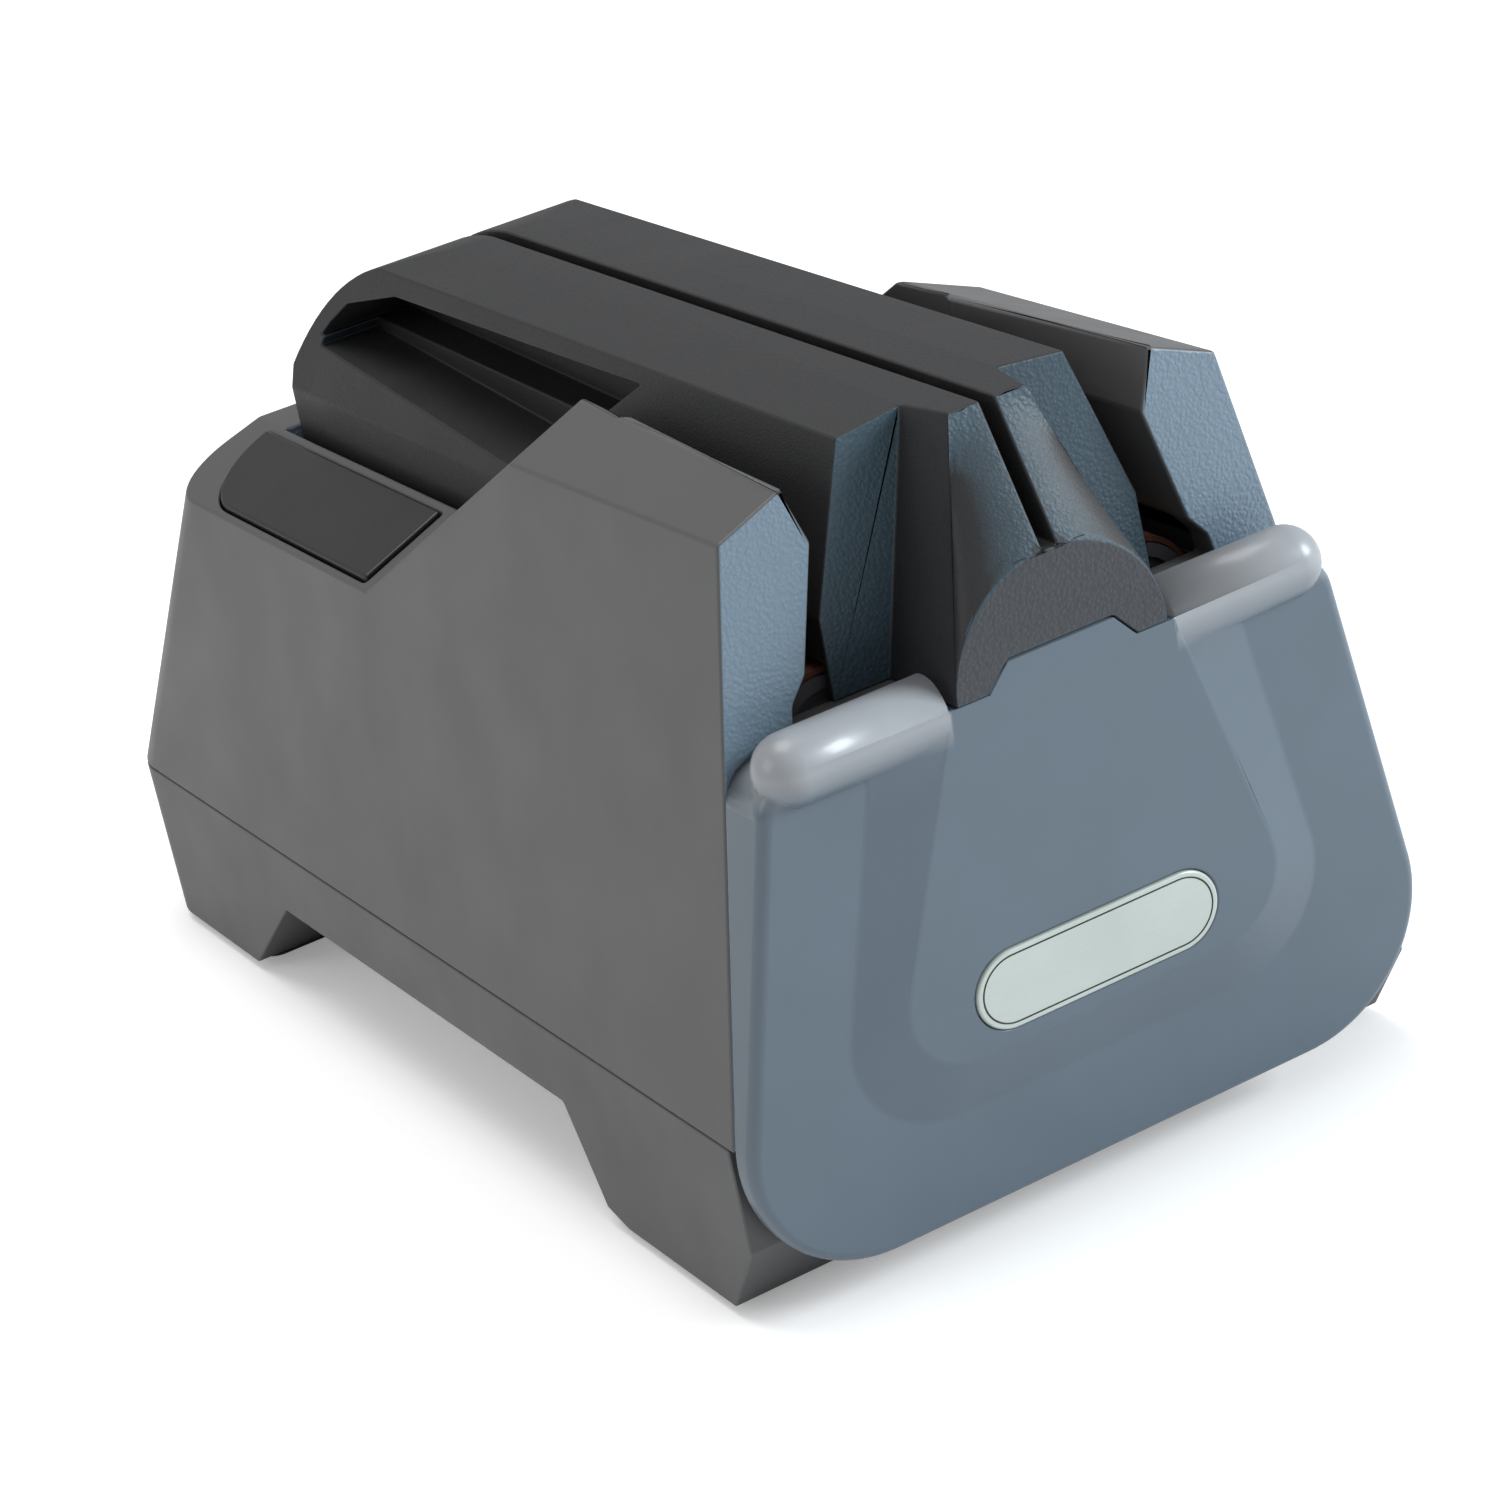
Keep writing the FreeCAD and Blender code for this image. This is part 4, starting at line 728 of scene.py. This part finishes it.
@dataclass
class Cover:
    """Pull-off front cover, the bare plate on it and the line round the plate.

    Edges of the cover above plain_above stay as they are. lean is how far
    the plate tips back for its height.
    """

    edge: float = 0.55 * MM
    plain_above: float = 97 * MM
    badge_edge: float = 0.5 * MM
    lean: float = 0.105
    line_inset: float = 1.3 * MM
    line_radius: float = 0.24 * MM
    line_sink: float = 0.12 * MM
    line_steps: int = 24
    line_sides: int = 8

    def rim(self) -> List[Vector]:
        """Path of the line along the plate's rounded outline.

        Returns:
            Its points, in order.
        """
        low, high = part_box("badge_plate")
        lean = math.hypot(1.0, self.lean)
        radius = (high.z - low.z) / 2 * lean - self.line_inset
        reach = (high.x - low.x) / 2 - self.line_inset - radius
        middle = Vector((0.0, low.y + self.lean * (high.z - low.z) / 2, (low.z + high.z) / 2))
        up = Vector((0.0, -self.lean, 1.0)) / lean
        inward = Vector((0.0, 1.0, self.lean)) / lean
        points = []
        for side in (1, -1):
            for step in range(self.line_steps + 1):
                turn = math.pi * (step / self.line_steps - 0.5) * side
                across = side * reach + side * radius * math.cos(turn)
                points.append(middle + inward * self.line_sink + Vector((across, 0, 0))
                              + up * radius * math.sin(turn))
        return points

    def line(self) -> None:
        """Thin dark line that follows the rim of the plate."""
        points = self.rim()
        count = len(points)
        mesh = bpy.data.meshes.new("badge_line")
        mesh.from_pydata(points, [(i, (i + 1) % count) for i in range(count)], [])
        growth = Growth("rim_line", {"Line radius": self.line_radius})
        nodes, inlet = growth.nodes, growth.inlet
        path = nodes.add("GeometryNodeMeshToCurve", {"Mesh": inlet["Geometry"]}).outputs[0]
        ring = nodes.add("GeometryNodeCurvePrimitiveCircle", {
            "Resolution": self.line_sides, "Radius": inlet["Line radius"]})
        tube = nodes.add("GeometryNodeCurveToMesh", {
            "Curve": path, "Profile Curve": ring.outputs[0]})
        growth.end(tube.outputs[0], BUTTON)
        obj = growth.run("badge_line", mesh)
        obj.data.shade_smooth()
        hand_over(obj, "cover", [])

    def build(self) -> None:
        """Makes the line, the cover and its plate."""
        self.line()
        rounded("front_cover", "cover_shell", "cover", COVER, self.edge, flatten=True,
                top=self.plain_above)
        rounded("badge_plate", "badge_shell", "cover", BADGE, self.badge_edge, flatten=True)


@dataclass
class Guide:
    """Lift-off knife guide with its two hones."""

    edge: float = 0.5 * MM

    def build(self) -> None:
        """Makes the guide and dresses the hones."""
        rounded("knife_guide", "guide_shell", "guide", GUIDE, self.edge, flatten=True)
        for side in ("left", "right"):
            dress(f"hone_{side}", CERAMIC)


@dataclass
class Button:
    """Push button, its coil spring, and the switch on its plate."""

    edge: float = 0.7 * MM
    travel: float = 2.5 * MM
    wire: float = 0.35 * MM
    coils: float = 6.5
    coil_steps: int = 32
    wire_sides: int = 10

    def build(self) -> None:
        """Makes the cap and the spring, and dresses the rest."""
        rounded("power_button", "button_cap", "button", BUTTON, self.edge, flatten=True)
        self.spring()
        dress("power_switch", WHEEL)
        dress("switch_bracket", ALUMINIUM)

    def spring(self) -> None:
        """Wound spring at its free length."""
        low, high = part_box("button_spring")
        middle = (low + high) / 2
        growth = Growth("coil_tree", {
            "Coils": self.coils, "Coil radius": (high.x - low.x) / 2 - self.wire,
            "Wire radius": self.wire, "Free length": high.z - low.z - 2 * self.wire,
            "Wire sides": self.wire_sides})
        nodes, inlet = growth.nodes, growth.inlet
        helix = nodes.add("GeometryNodeCurveSpiral", {
            "Resolution": self.coil_steps, "Rotations": inlet["Coils"],
            "Start Radius": inlet["Coil radius"], "End Radius": inlet["Coil radius"],
            "Height": inlet["Free length"]})
        ring = nodes.add("GeometryNodeCurvePrimitiveCircle", {
            "Resolution": inlet["Wire sides"], "Radius": inlet["Wire radius"]})
        tube = nodes.add("GeometryNodeCurveToMesh", {
            "Curve": helix.outputs[0], "Profile Curve": ring.outputs[0], "Fill Caps": True})
        growth.end(tube.outputs[0], STEEL)
        obj = growth.run("button_coil", bpy.data.meshes.new("coil_seed"))
        obj.data.transform(Matrix.Translation((middle.x, middle.y, low.z + self.wire)))
        obj.data.shade_smooth()
        hand_over(obj, "housing", ["button_spring"])
        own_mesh(obj)


@dataclass
class Screws:
    """Cross-head screws set at the corners or ends of their node's box.

    recess_share is the length of the cross for the head's radius. The
    other two shares are the width of its bars for that length, and their
    height for the head's.
    """

    node: str
    name: str
    head_radius: float
    head_height: float
    shank_radius: float
    pointing: Pointing = Pointing.UP
    recess_share: float = 1.2
    bar_share: float = 0.22
    cut_share: float = 1.1
    sides: int = 32

    def places(self) -> Tuple[Sequence[Tuple[float, float]], float, Matrix]:
        """Where the screws stand in their own plane.

        Returns:
            Points of the plane, the screws' length, and the matrix that
            carries the plane and the axis into the frame.
        """
        low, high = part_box(self.node)
        reach = self.head_radius
        xs = (low.x + reach, high.x - reach)
        if self.pointing is Pointing.REARWARD:
            level = (low.z + high.z) / 2
            turn = Matrix.Translation((0, low.y, level)) @ Matrix.Rotation(-math.pi / 2, 4, "X")
            return [(x, 0.0) for x in xs], high.y - low.y, turn
        ys = (low.y + reach, high.y - reach)
        turn = Matrix.Translation((0, 0, low.z))
        return [(x, y) for x in xs for y in ys], high.z - low.z, turn

    def build(self) -> None:
        """Grows one screw on each place."""
        points, length, turn = self.places()
        mesh = bpy.data.meshes.new(self.name)
        mesh.from_pydata([(x, y, 0.0) for x, y in points], [], [])
        growth = Growth(f"{self.name}_tree", {
            "Head radius": self.head_radius, "Head height": self.head_height,
            "Shank radius": self.shank_radius, "Shank length": length - self.head_height,
            "Recess": self.head_radius * self.recess_share})
        nodes, inlet = growth.nodes, growth.inlet
        head = self.lathe(nodes, inlet["Head radius"], inlet["Head height"], 0.0)
        shank = self.lathe(nodes, inlet["Shank radius"], inlet["Shank length"],
                           inlet["Head height"])
        thin = nodes.math("MULTIPLY", inlet["Recess"], self.bar_share)
        deep = nodes.math("MULTIPLY", inlet["Head height"], self.cut_share)
        sizes = (nodes.xyz(inlet["Recess"], thin, deep), nodes.xyz(thin, inlet["Recess"], deep))
        bars = [nodes.add("GeometryNodeMeshCube", {"Size": size}).outputs[0] for size in sizes]
        cut = nodes.add("GeometryNodeMeshBoolean", {0: head, 1: nodes.join(*bars)},
                        operation="DIFFERENCE").outputs[0]
        growth.end(nodes.stand(inlet["Geometry"], nodes.join(cut, shank)), STEEL)
        obj = growth.run(self.name, mesh)
        obj.data.transform(turn)
        hand_over(obj, "housing", [self.node])

    def lathe(self, nodes: Nodes, radius: Any, height: Any, start: Any) -> Socket:
        """Turned length of a screw.

        Args:
            nodes: Tree of the screw.
            radius: Its radius.
            height: Its length along the axis.
            start: Where it begins on the axis.

        Returns:
            The cylinder.
        """
        body = nodes.add("GeometryNodeMeshCylinder", {
            "Vertices": self.sides, "Radius": radius, "Depth": height}).outputs[0]
        lift = nodes.math("ADD", nodes.math("MULTIPLY", height, 0.5), start)
        return nodes.add("GeometryNodeTransform", {
            "Geometry": body, "Translation": nodes.xyz(z=lift)}).outputs[0]


@dataclass
class Belt:
    """Abrasive belt with grains on its outer side.

    Grains go on faces whose normal has less than edge_share along Y and
    reaches more than outer_arm away from the loop's middle. density is
    in grains for a square metre.
    """

    density: float = 1.1e6
    grain: float = 0.16 * MM
    least_share: float = 0.45
    edge_share: float = 0.5
    outer_arm: float = 4 * MM

    def build(self) -> None:
        """Scatters grains over the outer side of the loop."""
        low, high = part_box("abrasive_belt")
        middle = (low + high) / 2
        growth = Growth("grit_tree", {
            "Density": self.density, "Grain radius": self.grain, "Seed": SEED})
        nodes, inlet = growth.nodes, growth.inlet
        normal = nodes.add("GeometryNodeInputNormal").outputs[0]
        place = nodes.add("GeometryNodeInputPosition").outputs[0]
        arm = nodes.vector("SUBTRACT", {0: place, 1: tuple(middle)})
        outward = nodes.add("ShaderNodeVectorMath", {0: normal, 1: arm},
                            operation="DOT_PRODUCT").outputs["Value"]
        side = nodes.math("ABSOLUTE", nodes.axis(normal, 1))
        shown = nodes.math("MULTIPLY", nodes.math("GREATER_THAN", outward, self.outer_arm),
                           nodes.math("LESS_THAN", side, self.edge_share))
        dots = nodes.add("GeometryNodeDistributePointsOnFaces", {
            "Mesh": inlet["Geometry"], "Selection": shown, "Density": inlet["Density"],
            "Seed": inlet["Seed"]}).outputs
        ball = nodes.add("GeometryNodeMeshIcoSphere", {
            "Radius": inlet["Grain radius"], "Subdivisions": 1}).outputs[0]
        size = nodes.add("FunctionNodeRandomValue", {
            2: self.least_share, 3: 1.0, "Seed": inlet["Seed"]}, data_type="FLOAT").outputs[1]
        grains = nodes.stand(dots[0], ball, Rotation=dots[2], Scale=size)
        growth.end(nodes.join(inlet["Geometry"], grains), CLOTH)
        obj = growth.run("belt_grit", welded("abrasive_belt"))
        hand_over(obj, "housing", ["abrasive_belt"])


@dataclass
class Drive:
    """Motor with its screws, the belt, the wheels and the plate that carries them."""

    screw_head: float = 3.8 * MM
    screw_head_height: float = 2.0 * MM
    screw_shank: float = 2.0 * MM

    def build(self) -> None:
        """Makes the belt and screws, and dresses the rest."""
        Belt().build()
        Screws("motor_screws", "motor_screw_set", self.screw_head, self.screw_head_height,
               self.screw_shank, Pointing.REARWARD).build()
        for node in ("idler_pin_left", "idler_pin_right", "motor_can", "motor_shaft"):
            dress(node, STEEL)
        for node in ("idler_left", "idler_right", "drive_wheel", "cooling_fan"):
            dress(node, WHEEL)
        dress("mechanism_plate", ALUMINIUM)


@dataclass
class Electrics:
    """Circuit board and the cord's gland."""

    edge: float = 0.4 * MM

    def build(self) -> None:
        """Dresses the board and rounds the gland."""
        dress("circuit_board", BOARD)
        rounded("cord_gland", "gland_shell", "housing", RUBBER, self.edge)


@dataclass(frozen=True)
class Lamp:
    """Square soft lamp: its middle and side in metres, its power in watts."""

    name: str
    place: Triple
    size: float
    power: float
    color: Colour

    def build(self, target: Vector) -> None:
        """Puts the lamp in the scene.

        Args:
            target: What it looks at.
        """
        data = bpy.data.lights.new(self.name, "AREA")
        data.size = self.size
        data.energy = self.power
        data.color = self.color
        lamp = bpy.data.objects.new(self.name, data)
        bpy.context.scene.collection.objects.link(lamp)
        aim = (target - Vector(self.place)).to_track_quat("-Z", "Y")
        lamp.matrix_world = Matrix.Translation(self.place) @ aim.to_matrix().to_4x4()


@dataclass
class Studio:
    """Pale floor, soft light and the camera of the picture."""

    lens: float = 104.16
    sensor: float = 36.0
    nearest: float = 0.01
    place: Triple = (-0.3588, -0.768379, 0.4067)
    right: Triple = (0.8467, -0.4958, -0.1930)
    up: Triple = (0.3520, 0.2500, 0.9020)
    back: Triple = (-0.3990, -0.8316, 0.3862)
    floor_half: float = 6.0
    floor_color: Colour = (0.93, 0.93, 0.93)
    floor_roughness: float = 0.9
    floor_shine: float = 0.1
    floor_glow: float = 0.25
    sky: float = 0.50
    target: Triple = (0.0, 0.0, 0.06)
    lamps: Tuple[Lamp, ...] = (
        Lamp("key", (1.9, -1.35, 1.0), 0.9, 62.0, (0.88, 0.95, 1.0)),
        Lamp("top", (-0.1, 0.15, 1.7), 1.0, 14.0, (1.0, 1.0, 1.0)),
        Lamp("left", (-1.6, 0.2, 0.9), 0.8, 4.0, (1.0, 0.99, 0.97)))

    def build(self) -> None:
        """Sets the camera, the floor, the sky and the lamps."""
        bpy.context.scene.view_settings.view_transform = "Standard"
        self.camera()
        self.floor()
        self.world()
        for lamp in self.lamps:
            lamp.build(Vector(self.target))

    def camera(self) -> None:
        """Camera at the photograph's viewing angle."""
        data = bpy.data.cameras.new("camera")
        data.lens = self.lens
        data.sensor_width = self.sensor
        data.clip_start = self.nearest
        camera = bpy.data.objects.new("camera", data)
        bpy.context.scene.collection.objects.link(camera)
        turn = Matrix((self.right, self.up, self.back)).transposed().to_quaternion()
        camera.matrix_world = Matrix.Translation(self.place) @ turn.to_matrix().to_4x4()
        bpy.context.scene.camera = camera

    def floor(self) -> None:
        """Pale floor under the feet, a little brighter to the camera."""
        half = self.floor_half
        corners = [(-half, -half, 0), (half, -half, 0), (half, half, 0), (-half, half, 0)]
        mesh = bpy.data.meshes.new("floor")
        mesh.from_pydata(corners, [], [(0, 1, 2, 3)])
        floor = link("floor", mesh)
        paint = bpy.data.materials.new("floor_paint")
        paint.use_nodes = True
        sockets = paint.node_tree.nodes["Principled BSDF"].inputs
        sockets["Base Color"].default_value = (*self.floor_color, 1.0)
        sockets["Roughness"].default_value = self.floor_roughness
        sockets["Specular IOR Level"].default_value = self.floor_shine
        sockets["Emission Color"].default_value = WHITE
        nodes = Nodes(paint.node_tree)
        seen = nodes.add("ShaderNodeLightPath").outputs["Is Camera Ray"]
        glow = nodes.math("MULTIPLY", seen, self.floor_glow)
        paint.node_tree.links.new(glow, sockets["Emission Strength"])
        mesh.materials.append(paint)

    def world(self) -> None:
        """Even sky, white to the camera."""
        world = bpy.data.worlds.new("sky")
        bpy.context.scene.world = world
        world.use_nodes = True
        world.node_tree.nodes.clear()
        nodes = Nodes(world.node_tree)
        seen = nodes.add("ShaderNodeLightPath").outputs["Is Camera Ray"]
        strength = nodes.span(seen, 0.0, 1.0, self.sky, 1.0)
        sky = nodes.add("ShaderNodeBackground", {"Color": WHITE, "Strength": strength})
        nodes.add("ShaderNodeOutputWorld", {"Surface": sky.outputs[0]})


def main() -> None:
    """Builds every part of the scene in order."""
    logging.basicConfig(level=logging.INFO, format="%(name)s %(message)s")
    base_screws = Screws("base_screws", "base_screw_set", head_radius=3.2 * MM,
                         head_height=2.4 * MM, shank_radius=1.5 * MM)
    parts = (Housing(), Feet(), base_screws, Cover(), Guide(), Button(), Drive(), Electrics(),
             Studio())
    for part in parts:
        log.info("building %s", type(part).__name__)
        part.build()


if __name__ == "__main__":
    main()
